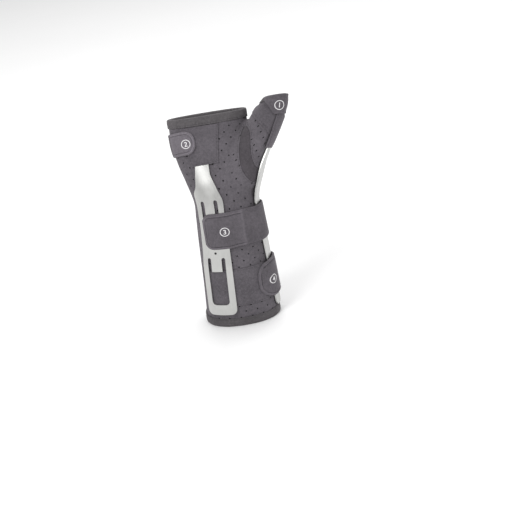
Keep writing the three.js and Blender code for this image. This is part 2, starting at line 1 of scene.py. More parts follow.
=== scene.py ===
"""Dresses the thumb spica splint: laminate sleeve, bound edges, straps, patches, stays and printed badges.

Lengths are millimetres about the forearm's axis until a mesh is made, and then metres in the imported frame.
A place on a limb is s along it, u round it from the middle of the palm side, positive towards the thumb,
and a height over the sleeve's outer face.
"""

from __future__ import annotations

import json
import logging
import math
from dataclasses import dataclass
from enum import Enum
from functools import partial
from typing import Callable, Sequence

import bmesh
import bpy
import numpy as np
from bpy.types import ID, Material, Node, NodeSocket, NodeTree, Object
from mathutils import Matrix, Vector
from mathutils.bvhtree import BVHTree

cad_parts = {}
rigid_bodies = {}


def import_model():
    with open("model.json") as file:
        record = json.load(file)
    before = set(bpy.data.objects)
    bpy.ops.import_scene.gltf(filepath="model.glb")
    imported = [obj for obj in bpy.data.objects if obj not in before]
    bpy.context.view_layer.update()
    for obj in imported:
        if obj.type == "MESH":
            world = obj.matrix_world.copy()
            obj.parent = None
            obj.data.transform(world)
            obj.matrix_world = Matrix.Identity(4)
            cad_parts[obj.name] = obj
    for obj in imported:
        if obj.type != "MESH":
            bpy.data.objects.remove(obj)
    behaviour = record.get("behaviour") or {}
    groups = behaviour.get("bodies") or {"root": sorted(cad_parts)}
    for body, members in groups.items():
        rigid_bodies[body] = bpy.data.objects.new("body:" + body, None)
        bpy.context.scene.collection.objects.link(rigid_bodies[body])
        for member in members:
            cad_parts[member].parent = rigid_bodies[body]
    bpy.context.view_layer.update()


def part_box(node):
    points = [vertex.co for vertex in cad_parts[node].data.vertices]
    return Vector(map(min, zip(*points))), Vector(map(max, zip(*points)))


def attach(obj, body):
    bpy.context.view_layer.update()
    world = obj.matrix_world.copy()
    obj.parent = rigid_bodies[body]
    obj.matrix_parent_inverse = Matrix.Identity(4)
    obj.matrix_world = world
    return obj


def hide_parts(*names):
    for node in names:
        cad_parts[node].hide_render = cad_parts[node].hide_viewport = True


LOG = logging.getLogger("splint")
MM = 0.001
ROOT = "root"
Array = np.ndarray
Cover = Callable[[Array, Array], Array]
Line = Sequence[tuple[float, float]]
# How far in from the cloth's edge a row of stitches runs on a patch or tape, and on a strap's sewn end
ROW_IN = 1.7
BOX_IN = 2.2
# How deep thread goes into the cloth
THREAD_DEPTH = 0.45
# A distance past any reach
FAR = 1e3


# Small sums


def ease(low: float, high: float, x: Array) -> Array:
    """Smooth step from 0 at low to 1 at high.

    Args:
        low: Where the step starts.
        high: Where it ends.
        x: Where to read it.

    Returns:
        The step's height at x.
    """
    t = np.clip((np.asarray(x, float) - low) / (high - low), 0, 1)
    return t * t * (3 - 2 * t)


def mix(a: Array, b: Array, t: Array) -> Array:
    """Straight blend from a at t = 0 to b at t = 1."""
    return a + (b - a) * t


def raised(value: Array, exponent: float) -> Array:
    """A power that keeps the value's sign."""
    return np.sign(value) * np.abs(value) ** exponent


def fading(distance: Array, ramp: float) -> Array:
    """How much of a lift of the cloth is left at a distance from what it lies over."""
    return 1 - ease(0, ramp, distance)


def beyond(value: Array, low: Array, high: Array) -> Array:
    """How far a value is outside a range, or 0 inside it."""
    return np.maximum(np.maximum(low - value, value - high), 0)


def rounded_inset(distance: Array, radius: float) -> Array:
    """How far a rounded corner draws an edge in, at a distance from the end."""
    short = np.clip(radius - np.asarray(distance, float), 0, radius)
    return radius - np.sqrt(radius**2 - short**2)


def steps(start: float, stop: float, step: float) -> Array:
    """Evenly spaced numbers from start to stop, no further apart than step."""
    return np.linspace(start, stop, max(1, math.ceil(abs(stop - start) / step)) + 1)


def soft_line(distance: Array, at: Array, width: float) -> Array:
    """A soft line: 1 at a distance, and next to nothing well to either side of it."""
    return np.exp(-(((distance - at) / width) ** 2))


# The worn shape


@dataclass(frozen=True)
class Sizes:
    """The splint's driving sizes, the same as in the part's source."""

    wrist_height: float = 138
    hand_length: float = 88
    cuff_width: float = 81
    cuff_depth: float = 66
    wrist_width: float = 67
    wrist_depth: float = 49
    palm_width: float = 85
    palm_depth: float = 38
    palm_shift: float = -5
    thumb_mouth_width: float = 24
    thumb_mouth_depth: float = 26
    thumb_reach: float = 70.8
    thumb_rise: float = 98
    thumb_forward: float = -11
    thenar_width: float = 45
    thenar_depth: float = 38
    wrist_bend: float = math.radians(20)
    bend_start: float = 118
    bend_length: float = 40
    dorsal_rise: float = 6
    squareness: float = 2.25
    wall: float = 2.6
    gap: float = 0.3
    clearance: float = 0.4
    tape: float = 0.9
    patch: float = 0.9
    strap: float = 1.8
    thumb_strap: float = 1.4
    stay: float = 1.8

    @property
    def palm_top(self) -> float:
        """Height of the palm edge along the arm."""
        return self.wrist_height + self.hand_length

    @property
    def thumb_top(self) -> float:
        """Height of the thumb mouth along the hand."""
        return self.wrist_height + self.thumb_rise


SIZES = Sizes()

# Shares of the sizes above: up the forearm, swell
FOREARM = ((0, 1), (0.09, 0.9), (0.33, 0.62), (0.54, 0.44), (0.72, 0.28), (0.87, 0.1), (1, 0))
# Up the hand, spread, thin, shift
HAND = (
    (0.26, 0.33, 0.28, 0.45),
    (0.46, 0.66, 0.52, 0.78),
    (0.66, 0.91, 0.75, 0.97),
    (0.83, 1, 0.9, 1),
    (1, 1, 1, 1),
    (1.3, 1, 1, 1),
)
# Up the thumb, reach, forward, fat, deep
THUMB = (
    (-0.02, 0.13, 0.1, 0.7, 0.75),
    (0.1, 0.22, 0.3, 1, 0.92),
    (0.2, 0.275, 0.45, 1.02, 1),
    (0.31, 0.345, 0.55, 1, 1),
    (0.43, 0.445, 0.68, 0.96, 0.94),
    (0.53, 0.55, 0.78, 0.88, 0.84),
    (0.64, 0.66, 0.86, 0.78, 0.7),
    (0.77, 0.785, 0.93, 0.63, 0.47),
    (0.88, 0.885, 0.97, 0.46, 0.24),
    (1, 1, 1, 0, 0),
    (1.06, 1.06, 1.02, -0.05, 0),
)


def spine(s: Array) -> tuple[Array, Array, Array]:
    """The arm's middle line: straight, then an arc of the wrist bend, then straight.

    Args:
        s: Places along the arm.

    Returns:
        The line's y, its z and the angle that it leans back by.
    """
    radius = SIZES.bend_length / SIZES.wrist_bend
    angle = np.clip((s - SIZES.bend_start) / radius, 0, SIZES.wrist_bend)
    past = np.maximum(0, s - SIZES.bend_start - SIZES.bend_length)
    below = np.minimum(s, SIZES.bend_start)
    y = radius * (1 - np.cos(angle)) + past * np.sin(angle)
    return y, below + radius * np.sin(angle) + past * np.cos(angle), angle


def unbend(points: Array) -> tuple[Array, Array]:
    """Finds where points lie beside the arm's middle line.

    Args:
        points: Points in millimetres about the forearm's axis.

    Returns:
        Their s along the line, and how far behind it they are.
    """
    y, z = points[:, 1], points[:, 2]
    radius = SIZES.bend_length / SIZES.wrist_bend
    angle = np.arctan2(z - SIZES.bend_start, radius - y)
    back = radius - np.hypot(z - SIZES.bend_start, radius - y)
    s = SIZES.bend_start + angle * radius
    end = SIZES.bend_start + SIZES.bend_length
    y1, z1, lean = (float(v) for v in spine(np.array(float(end))))
    above = angle > SIZES.wrist_bend
    s = np.where(above, end + (y - y1) * math.sin(lean) + (z - z1) * math.cos(lean), s)
    back = np.where(above, (y - y1) * math.cos(lean) - (z - z1) * math.sin(lean), back)
    below = z < SIZES.bend_start
    return np.where(below, z, s), np.where(below, y, back)


def bent(x: Array, back: Array, s: Array) -> Array:
    """Points at x, s along the arm's middle line and a distance behind it."""
    y, z, lean = spine(s)
    return np.stack([x, y + back * np.cos(lean), z - back * np.sin(lean)], axis=-1)


class Table:
    """Rows of numbers that start with s, read as smooth curves."""

    def __init__(self, rows: Sequence[tuple[float, ...]]) -> None:
        """Keeps the rows."""
        self.rows = np.array(rows, float)

    def column(self, key: int, s: Array) -> Array:
        """A smooth curve through one column of the rows.

        Args:
            key: The column's number.
            s: Where to read it.

        Returns:
            The column's values at s.
        """
        at, values = self.rows[:, 0], self.rows[:, key]
        last = len(at) - 1
        i = np.clip(np.searchsorted(at, s, side="right") - 1, 0, last - 1)
        order = np.arange(last + 1)
        before, after = np.maximum(order - 1, 0), np.minimum(order + 1, last)
        slope = (values[after] - values[before]) / (at[after] - at[before])
        span = at[i + 1] - at[i]
        t = (s - at[i]) / span
        start = values[i] * (2 * t**3 - 3 * t**2 + 1) + slope[i] * span * (t**3 - 2 * t**2 + t)
        return start + values[i + 1] * (3 * t**2 - 2 * t**3) + slope[i + 1] * span * (t**3 - t**2)


class Limb(Table):
    """A stack of rounded sections along the arm's middle line."""

    # How far round the tables of lengths go to either side, which is past the back of the limb
    SPAN = 1.25 * math.pi
    # Half the number of steps in them, and a number that keeps a share of a step below the last one
    HALF_STEPS = 200
    SHORT = 1.001

    def __init__(self, rows: Sequence[tuple[float, float, float, float, float]]) -> None:
        """Keeps the sections and measures round them.

        Args:
            rows: Sections as s, x, y, width and depth.
        """
        super().__init__(rows)
        self.angles = np.linspace(-self.SPAN, self.SPAN, 2 * self.HALF_STEPS + 1)
        self.levels = np.arange(self.rows[0, 0], self.rows[-1, 0], 1.0)
        grid = self.place(*np.broadcast_arrays(self.angles[None, :], self.levels[:, None]), 0.0)
        arcs = np.linalg.norm(np.diff(grid, axis=1), axis=2).cumsum(axis=1)
        arcs = np.concatenate([np.zeros((len(self.levels), 1)), arcs], axis=1)
        self.arcs = arcs - arcs[:, [self.HALF_STEPS]]

    def place(self, theta: Array, s: Array, height: Array) -> Array:
        """Points over the limb, from angles round it.

        Args:
            theta: 0 at the middle of the palm side, a quarter turn at the thumb side.
            s: Places along the limb.
            height: Heights over the sleeve's outer face.

        Returns:
            Points in millimetres about the forearm's axis.
        """
        half_width, half_depth = self.column(3, s) / 2, self.column(4, s) / 2
        power = 2 / SIZES.squareness
        sin, cos = np.sin(theta), np.cos(theta)
        nx, ny = raised(sin, 2 - power) / half_width, -raised(cos, 2 - power) / half_depth
        size = np.hypot(nx, ny)
        x = self.column(1, s) + half_width * raised(sin, power) + height * nx / size
        back = self.column(2, s) - half_depth * raised(cos, power) + height * ny / size
        return bent(x, back, s)

    def _row(self, s: Array) -> Array:
        """The table of lengths round the limb at each s."""
        at = np.clip(np.asarray(s, float) - self.levels[0], 0, len(self.levels) - self.SHORT)
        low = at.astype(int)
        share = (at - low)[..., None]
        return self.arcs[low] * (1 - share) + self.arcs[low + 1] * share

    def angle_at(self, u: Array, s: Array) -> Array:
        """The angles that lie u round the limb from the middle of the palm side."""
        row = self._row(s)
        i = np.clip((row < np.asarray(u)[..., None]).sum(axis=-1) - 1, 0, len(self.angles) - 2)
        low = np.take_along_axis(row, i[..., None], -1)[..., 0]
        high = np.take_along_axis(row, i[..., None] + 1, -1)[..., 0]
        return self.angles[i] + (self.angles[1] - self.angles[0]) * (u - low) / (high - low)

    def girth_to(self, theta: Array, s: Array) -> Array:
        """How far round the limb angles lie from the middle of the palm side."""
        row = self._row(s)
        step = self.angles[1] - self.angles[0]
        at = np.clip((theta + self.SPAN) / step, 0, len(self.angles) - self.SHORT)
        i = np.broadcast_to(at.astype(int), row.shape[:-1])
        low = np.take_along_axis(row, i[..., None], -1)[..., 0]
        return mix(low, np.take_along_axis(row, i[..., None] + 1, -1)[..., 0], at - i)

    def wrap(self, u: Array, s: Array, height: Array) -> Array:
        """Points over the limb, from lengths round it."""
        u, s, height = np.broadcast_arrays(*(np.asarray(v, float) for v in (u, s, height)))
        return self.place(self.angle_at(u, s), s, height)

    def locate(self, points: Array) -> tuple[Array, Array]:
        """Finds where points lie on the limb.

        Args:
            points: Points in millimetres about the forearm's axis.

        Returns:
            Their angles and their places along the limb.
        """
        s, back = unbend(points)
        power = SIZES.squareness / 2
        sin = raised((points[:, 0] - self.column(1, s)) / (self.column(3, s) / 2), power)
        cos = raised(-(back - self.column(2, s)) / (self.column(4, s) / 2), power)
        return np.arctan2(sin, cos), s

    def nearest(self, points: Array) -> tuple[Array, Array, Array]:
        """The s of points, their places laid on the sleeve's outer face, and how far off it they are."""
        theta, s = self.locate(points)
        on_face = self.place(theta, s, np.zeros(len(s)))
        return s, on_face, np.linalg.norm(points - on_face, axis=1)


def forearm_rows() -> list[tuple[float, ...]]:
    """Sections of the forearm and the hand, from the shares."""
    z = SIZES
    rows = []
    for up, swell in FOREARM:
        width, depth = mix(z.wrist_width, z.cuff_width, swell), mix(z.wrist_depth, z.cuff_depth, swell)
        rows.append((up * z.wrist_height, 0, 0, width, depth))
    for up, spread, thin, shift in HAND:
        width, depth = mix(z.wrist_width, z.palm_width, spread), mix(z.wrist_depth, z.palm_depth, thin)
        rows.append((z.wrist_height + up * z.hand_length, shift * z.palm_shift, 0, width, depth))
    return rows


def thumb_rows() -> list[tuple[float, ...]]:
    """Sections of the thumb, from the shares."""
    z = SIZES
    return [
        (
            z.wrist_height + up * z.thumb_rise,
            reach * z.thumb_reach,
            forward * z.thumb_forward,
            mix(z.thumb_mouth_width, z.thenar_width, fat),
            mix(z.thumb_mouth_depth, z.thenar_depth, deep),
        )
        for up, reach, forward, fat, deep in THUMB
    ]


ARM = Limb(forearm_rows())
THUMB_TUBE = Limb(thumb_rows())


def palm_edge(theta: Array, height: Array) -> Array:
    """Height of the palm edge, which runs a little higher on the back of the hand."""
    back = raised(np.cos(theta), 2 / SIZES.squareness) * (1 + 2 * height / SIZES.palm_depth)
    return SIZES.palm_top + SIZES.dorsal_rise * (1 - back) / 2


# Making meshes


def placed(name: str, data: ID) -> Object:
    """A new object with its data, in the scene."""
    obj = bpy.data.objects.new(name, data)
    bpy.context.collection.objects.link(obj)
    return obj


class Bench:
    """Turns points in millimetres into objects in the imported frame."""

    def __init__(self) -> None:
        """Finds the forearm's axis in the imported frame, in the middle of the cuff's tape."""
        low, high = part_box("cuff_binding")
        self.origin = np.array([(low[0] + high[0]) / 2, (low[1] + high[1]) / 2, 0.0])

    def metres(self, points: Array) -> Array:
        """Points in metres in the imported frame."""
        return np.asarray(points, float) * MM + self.origin

    def millimetres(self, points: Array) -> Array:
        """Points in millimetres about the forearm's axis."""
        return (np.asarray(points, float) - self.origin) / MM

    def make(self, name: str, points: Array, faces: Sequence[Sequence[int]]) -> Object:
        """Makes an object from points in millimetres.

        Args:
            name: The object's name.
            points: Points about the forearm's axis.
            faces: Faces as lists of point numbers, pointing outwards.

        Returns:
            The new object, in the scene.
        """
        mesh = bpy.data.meshes.new(name)
        mesh.from_pydata(self.metres(points).tolist(), [], [list(map(int, face)) for face in faces])
        mesh.validate()
        return placed(name, mesh)

    def read(self, obj: Object) -> Array:
        """An object's points, in millimetres about the forearm's axis."""
        points = np.empty(len(obj.data.vertices) * 3)
        obj.data.vertices.foreach_get("co", points)
        return self.millimetres(points.reshape(-1, 3))

    def write(self, obj: Object, points: Array) -> None:
        """Moves an object's points to new places in millimetres."""
        obj.data.vertices.foreach_set("co", self.metres(points).ravel())
        obj.data.update()


def only(obj: Object) -> None:
    """Makes an object the only one selected, and the active one."""
    bpy.ops.object.select_all(action="DESELECT")
    obj.select_set(True)
    bpy.context.view_layer.objects.active = obj


def apply_modifier(obj: Object, kind: str, **settings: object) -> None:
    """Adds a modifier to an object and applies it.

    Args:
        obj: The object.
        kind: The modifier's type.
        **settings: The modifier's settings.
    """
    only(obj)
    modifier = obj.modifiers.new(kind.lower(), kind)
    for key, value in settings.items():
        setattr(modifier, key, value)
    bpy.ops.object.modifier_apply(modifier=modifier.name)


def smooth(obj: Object, degrees: float = 35) -> None:
    """Shades an object smooth, but for edges sharper than an angle."""
    only(obj)
    bpy.ops.object.shade_smooth_by_angle(angle=math.radians(degrees))


def drop(*objects: Object) -> None:
    """Takes helper objects out of the scene."""
    for obj in objects:
        bpy.data.objects.remove(obj, do_unlink=True)


def belt(here: int, there: int, sides: int) -> list[list[int]]:
    """Faces between two rings of points, from the numbers of the rings' first points."""
    return [[here + i, here + (i + 1) % sides, there + (i + 1) % sides, there + i] for i in range(sides)]


def plug_mesh(rings: Sequence[Array]) -> tuple[Array, list[list[int]]]:
    """Points and faces of a solid through rings of points, closed at both ends."""
    sides, last = len(rings[0]), len(rings) - 1
    faces = [face for r in range(last) for face in belt(r * sides, (r + 1) * sides, sides)]
    faces.append(list(range(sides))[::-1])
    faces.append([last * sides + i for i in range(sides)])
    return np.concatenate(rings), faces


def prism_faces(count: int) -> list[list[int]]:
    """Faces of a prism whose points are one end's outline and then the other's."""
    faces = [list(range(count)), [count + i for i in range(count)][::-1]]
    return faces + [[i, count + i, count + (i + 1) % count, (i + 1) % count] for i in range(count)]


def slab_faces(columns: int, line: int) -> list[list[int]]:
    """Faces of a slab whose points are its under face's grid and then its upper face's."""
    face = columns * line
    index = np.arange(face).reshape(columns, line)
    a, b = index[:-1, :-1].ravel(), index[1:, :-1].ravel()
    under = np.stack([a, a + 1, b + 1, b], axis=1)
    faces = np.concatenate([under, under[:, ::-1] + face]).tolist()
    rim = [*index[:-1, 0], *index[-1, :-1], *index[:0:-1, -1], *index[0, :0:-1]]
    return faces + [[i, j, face + j, face + i] for i, j in zip(rim, rim[1:] + rim[:1])]


def lay_flat(obj: Object, u: Array, s: Array) -> None:
    """Gives a slab the flat places of its grid as a UV map, in metres."""
    flat = np.concatenate([np.stack([u.ravel(), s.ravel()], axis=1)] * 2) * MM
    loops = np.empty(len(obj.data.loops), int)
    obj.data.loops.foreach_get("vertex_index", loops)
    obj.data.uv_layers.new(name="cloth").data.foreach_set("uv", flat[loops].ravel())


class Body:
    """The sleeve's smooth outer skin, from which the sleeve and the thenar gusset are cut."""

    VOXEL = 1.7
    ARM_SIDES = 150
    THUMB_SIDES = 90
    SOFT_REACH = 7.0
    SOFT_ROUNDS = 24
    # No closer than this to the arm's middle is a face on the thumb
    THUMB_ROOT = 6.0
    # How far the arm's plug runs past the cuff and the palm edge, and the thumb's past its mouth
    PAST_CUFF = 7.0
    PAST_PALM = 12.0
    PAST_MOUTH = 5.0
    # How far up the thumb's first section its plug starts
    SUNK_IN = 4.0
    # How near the plugs' ends the skin isn't laid back on the limbs' sections
    NEAR_END = 2.0
    RING_STEP = 2.5
    # How far past the palm's side the cut of the palm edge stops and that of the thumb mouth starts
    CROTCH = 4.5
    TOUCHING = 1e-6
    # How far behind the arm's middle line the gusset's cutter starts and ends
    CUTTER_FRONT = -75.0
    CUTTER_REAR = -6.0
    # How far the lattice of holes is moved round on the thumb, half of its pitch
    LATTICE_SHIFT = 6.35
    # How far apart the faces of arm and thumb are where the holes beside their seam start and are all there
    NO_HOLES = 1.2
    ALL_HOLES = 1.9
    # The gusset's stitches: their end towards the thumb, their pitch and how squarely the cloth faces them
    SEAM_END = 46.0
    SEAM_PITCH = 2.4
    FACING = -0.25

    def __init__(self, bench: Bench) -> None:
        """Keeps the bench that makes its meshes."""
        self.bench = bench

    def _tube(self, name: str, limb: Limb, sides: int, low: float, high: float) -> Object:
        """A closed plug of a limb's outer face."""
        angles = np.linspace(0, 2 * math.pi, sides, endpoint=False)
        levels = steps(low, high, self.RING_STEP)
        rings = [limb.place(angles, np.full(sides, s), np.zeros(sides)) for s in levels]
        return self.bench.make(name, *plug_mesh(rings))

    def skin(self) -> Object:
        """Makes the outer skin, open at its three edges.

        Returns:
            The skin, smooth where the thumb joins the hand.
        """
        arm = self._tube("skin", ARM, self.ARM_SIDES, -self.PAST_CUFF, SIZES.palm_top + self.PAST_PALM)
        start, stop = THUMB_TUBE.rows[0, 0] + self.SUNK_IN, SIZES.thumb_top + self.PAST_MOUTH
        thumb = self._tube("thumb_skin", THUMB_TUBE, self.THUMB_SIDES, start, stop)
        apply_modifier(arm, "BOOLEAN", operation="UNION", object=thumb, solver="EXACT")
        drop(thumb)
        apply_modifier(arm, "REMESH", mode="VOXEL", voxel_size=self.VOXEL * MM)
        self._settle(arm)
        self._open(arm)
        return arm

    def _settle(self, obj: Object) -> None:
        """Smooths the join of thumb and hand, and lays all else on the limbs' sections."""
        points = self.bench.read(obj)
        edges = np.empty(len(obj.data.edges) * 2, int)
        obj.data.edges.foreach_get("vertices", edges)
        edges = edges.reshape(-1, 2)
        count = np.bincount(edges.ravel(), minlength=len(points))[:, None]
        for _ in range(self.SOFT_ROUNDS):
            s, on_arm, off_arm = ARM.nearest(points)
            _, on_thumb, off_thumb = THUMB_TUBE.nearest(points)
            off_thumb[s < THUMB_TUBE.rows[0, 0] + self.SUNK_IN - self.NEAR_END] = FAR
            total = np.zeros_like(points)
            np.add.at(total, edges[:, 0], points[edges[:, 1]])
            np.add.at(total, edges[:, 1], points[edges[:, 0]])
            soft = fading(np.maximum(off_arm, off_thumb), self.SOFT_REACH)[:, None]
            nearest = np.where((off_arm < off_thumb)[:, None], on_arm, on_thumb)
            top = SIZES.thumb_top + self.PAST_MOUTH - self.NEAR_END
            level = (s > self.NEAR_END - self.PAST_CUFF) & (s < top)
            held = np.where(level[:, None], nearest, points)
            points = mix(held, total / count, soft)
        self.bench.write(obj, points)

    def _open(self, obj: Object) -> None:
        """Cuts the skin open at the cuff, the palm edge and the thumb mouth."""
        z = SIZES
        rear_and_front = np.array([[math.pi], [0.0]])
        middle, front = (ARM.place(theta, palm_edge(theta, 0.0), 0.0)[0] for theta in rear_and_front)
        lean = Vector((0, middle[1] - front[1], middle[2] - front[2])).normalized()
        palm_normal = Vector((0, -lean.z, lean.y))
        mouth = THUMB_TUBE.place(np.array([0.0]), np.array([z.thumb_top]), 0.0)[0]
        mouth_normal = Vector((0, math.sin(z.wrist_bend), math.cos(z.wrist_bend)))
        foot = np.array([0, 0, z.gap + z.tape])
        notch = z.palm_shift + z.palm_width / 2 + self.CROTCH
        cuts = [
            (foot, Vector((0, 0, -1)), lambda p: True),
            (front, palm_normal, lambda p: p[0] < notch),
            (mouth, mouth_normal, lambda p: p[0] > notch),
        ]
        only(obj)
        for place, normal, part in cuts:
            mesh = bmesh.new()
            mesh.from_mesh(obj.data)
            spot = Vector(self.bench.metres(place))
            faces = [f for f in mesh.faces if part(self.bench.millimetres(f.calc_center_median()))]
            around = {e for f in faces for e in f.edges} | {v for f in faces for v in f.verts}
            geometry = list(around) + faces
            bmesh.ops.bisect_plane(mesh, geom=geometry, dist=self.TOUCHING, plane_co=spot, plane_no=normal)
            gone = [
                f
                for f in mesh.faces
                if (f.calc_center_median() - spot).dot(normal) > self.TOUCHING
                and part(self.bench.millimetres(f.calc_center_median()))
            ]
            bmesh.ops.delete(mesh, geom=gone, context="FACES")
            mesh.to_mesh(obj.data)
            mesh.free()

    def cut(self) -> tuple[Object, Object]:
        """Gives the skin its wall and cuts the gusset out of it.

        Returns:
            The sleeve and the thenar gusset.
        """
        sleeve = self.skin()
        apply_modifier(sleeve, "SOLIDIFY", thickness=SIZES.wall * MM, offset=-1, use_even_offset=False)
        gusset = sleeve.copy()
        gusset.data = sleeve.data.copy()
        bpy.context.collection.objects.link(gusset)
        for obj, operation, inset in ((sleeve, "DIFFERENCE", 0.0), (gusset, "INTERSECT", SIZES.gap)):
            prism = self._prism(inset)
            apply_modifier(obj, "BOOLEAN", operation=operation, object=prism, solver="EXACT")
            drop(prism)
        sleeve.name = sleeve.data.name = "sleeve_laminate"
        gusset.name = gusset.data.name = "thenar_stretch_panel"
        for obj in (sleeve, gusset):
            self._unroll(obj)
            smooth(obj, 40)
        return sleeve, gusset

    def _prism(self, inset: float) -> Object:
        """A cutter through the front wall, inside the gusset's outline moved in by an inset."""
        x, s = gusset_line(6, inset)
        ends = [bent(x, back, s) for back in (self.CUTTER_FRONT, self.CUTTER_REAR)]
        return self.bench.make("gusset_cutter", np.concatenate(ends), prism_faces(len(x)))

    def _unroll(self, obj: Object) -> None:
        """Gives each face its flat place on the cloth, in metres, on the limb that it lies on."""
        points = self.bench.read(obj)
        sheets = []
        for limb, shift in ((ARM, 0.0), (THUMB_TUBE, self.LATTICE_SHIFT)):
            theta, s = limb.locate(points)
            level = np.clip(s, limb.rows[0, 0], limb.rows[-1, 0])
            off = np.linalg.norm(points - limb.place(theta, level, 0.0), axis=1)
            round_whole = 2 * limb.girth_to(np.full(len(level), math.pi), level)
            flat = np.stack([limb.girth_to(theta, level) + shift, s], axis=1)
            sheets.append((flat, off, round_whole))
        apart = np.abs(sheets[1][1] - sheets[0][1])
        plain = (1 - ease(self.NO_HOLES, self.ALL_HOLES, apart)) * (points[:, 0] > self.THUMB_ROOT)
        obj.data.attributes.new("plain", "FLOAT", "POINT").data.foreach_set("value", plain)
        layer = obj.data.uv_layers.new(name="cloth")
        for face in obj.data.polygons:
            corners = list(face.vertices)
            near_thumb = sheets[1][1][corners].mean() < sheets[0][1][corners].mean()
            on_thumb = near_thumb and points[corners, 0].mean() > self.THUMB_ROOT
            flat, _, round_whole = (part[corners] for part in sheets[int(on_thumb)])
            if np.ptp(flat[:, 0]) > round_whole.min() / 2:
                flat[:, 0] += np.where(flat[:, 0] < 0, round_whole, 0)
            for loop, place in zip(face.loop_indices, flat):
                layer.data[loop].uv = place * MM

    def seam(self, cloth: Cloth, sleeve: Object) -> Object:
        """Sews the sleeve down beside the gusset.

        Args:
            cloth: The cloth maker, for its thread.
            sleeve: The sleeve, cut round the gusset.

        Returns:
            The row of thread.
        """
        x, s = gusset_line(14, -ROW_IN)
        _, _, lean = spine(s)
        front = self.bench.metres(bent(x, self.CUTTER_FRONT, s))
        way = np.stack([np.zeros_like(x), np.cos(lean), -np.sin(lean)], axis=-1)
        mesh, sewn = sleeve.data, x < self.SEAM_END
        points, faces = [v.co for v in mesh.vertices], [list(f.vertices) for f in mesh.polygons]
        tree = BVHTree.FromPolygons(points, faces)
        path, sunk = [], []
        for place, direction in zip(front[sewn], way[sewn]):
            hit, normal, _, _ = tree.ray_cast(Vector(place), Vector(direction))
            if hit is not None and normal.dot(Vector(direction)) < self.FACING:
                path.append(self.bench.millimetres(hit))
                sunk.append(path[-1] - THREAD_DEPTH * np.array(normal))
        return cloth.thread("gusset_seam_stitch", np.array(path), np.array(sunk), self.SEAM_PITCH)


# Outline of the thenar gusset: out from the forearm's axis, and up along the hand
GUSSET_OUTLINE = (
    (62, 161.5),
    (41, 163),
    (36, 172),
    (35.8, 184),
    (37.4, 197),
    (37.2, 205),
    (34.5, 210),
    (30.5, 206),
    (26.2, 195.5),
    (22.9, 182),
    (22.6, 168),
    (25, 158.5),
    (29.5, 152.5),
    (36, 150),
    (62, 150.5),
)


def closed_curve(corners: Array, fine: int) -> Array:
    """A smooth closed line through corners.

    Args:
        corners: The corners in order.
        fine: How many points there are from one corner to the next.

    Returns:
        The line's points.
    """
    before, after, far = np.roll(corners, 1, 0), np.roll(corners, -1, 0), np.roll(corners, -2, 0)
    t = (np.arange(fine) / fine)[None, :, None]
    a, b, c, d = (part[:, None, :] for part in (before, corners, after, far))
    line = b + 0.5 * t * (c - a + t * (2 * a - 5 * b + 4 * c - d + t * (3 * (b - c) + d - a)))
    return line.reshape(-1, corners.shape[1])


def gusset_line(fine: int, inset: float) -> tuple[Array, Array]:
    """The gusset's outline moved in.

    Args:
        fine: How many points there are from one corner to the next.
        inset: How far it is moved in, or out if that is below 0.

    Returns:
        The line's x and s.
    """
    x, s = closed_curve(np.array(GUSSET_OUTLINE, float), fine).T
    dx, ds = np.roll(x, -1) - np.roll(x, 1), np.roll(s, -1) - np.roll(s, 1)
    size = np.hypot(dx, ds)
    return x - inset * ds / size, s + inset * dx / size


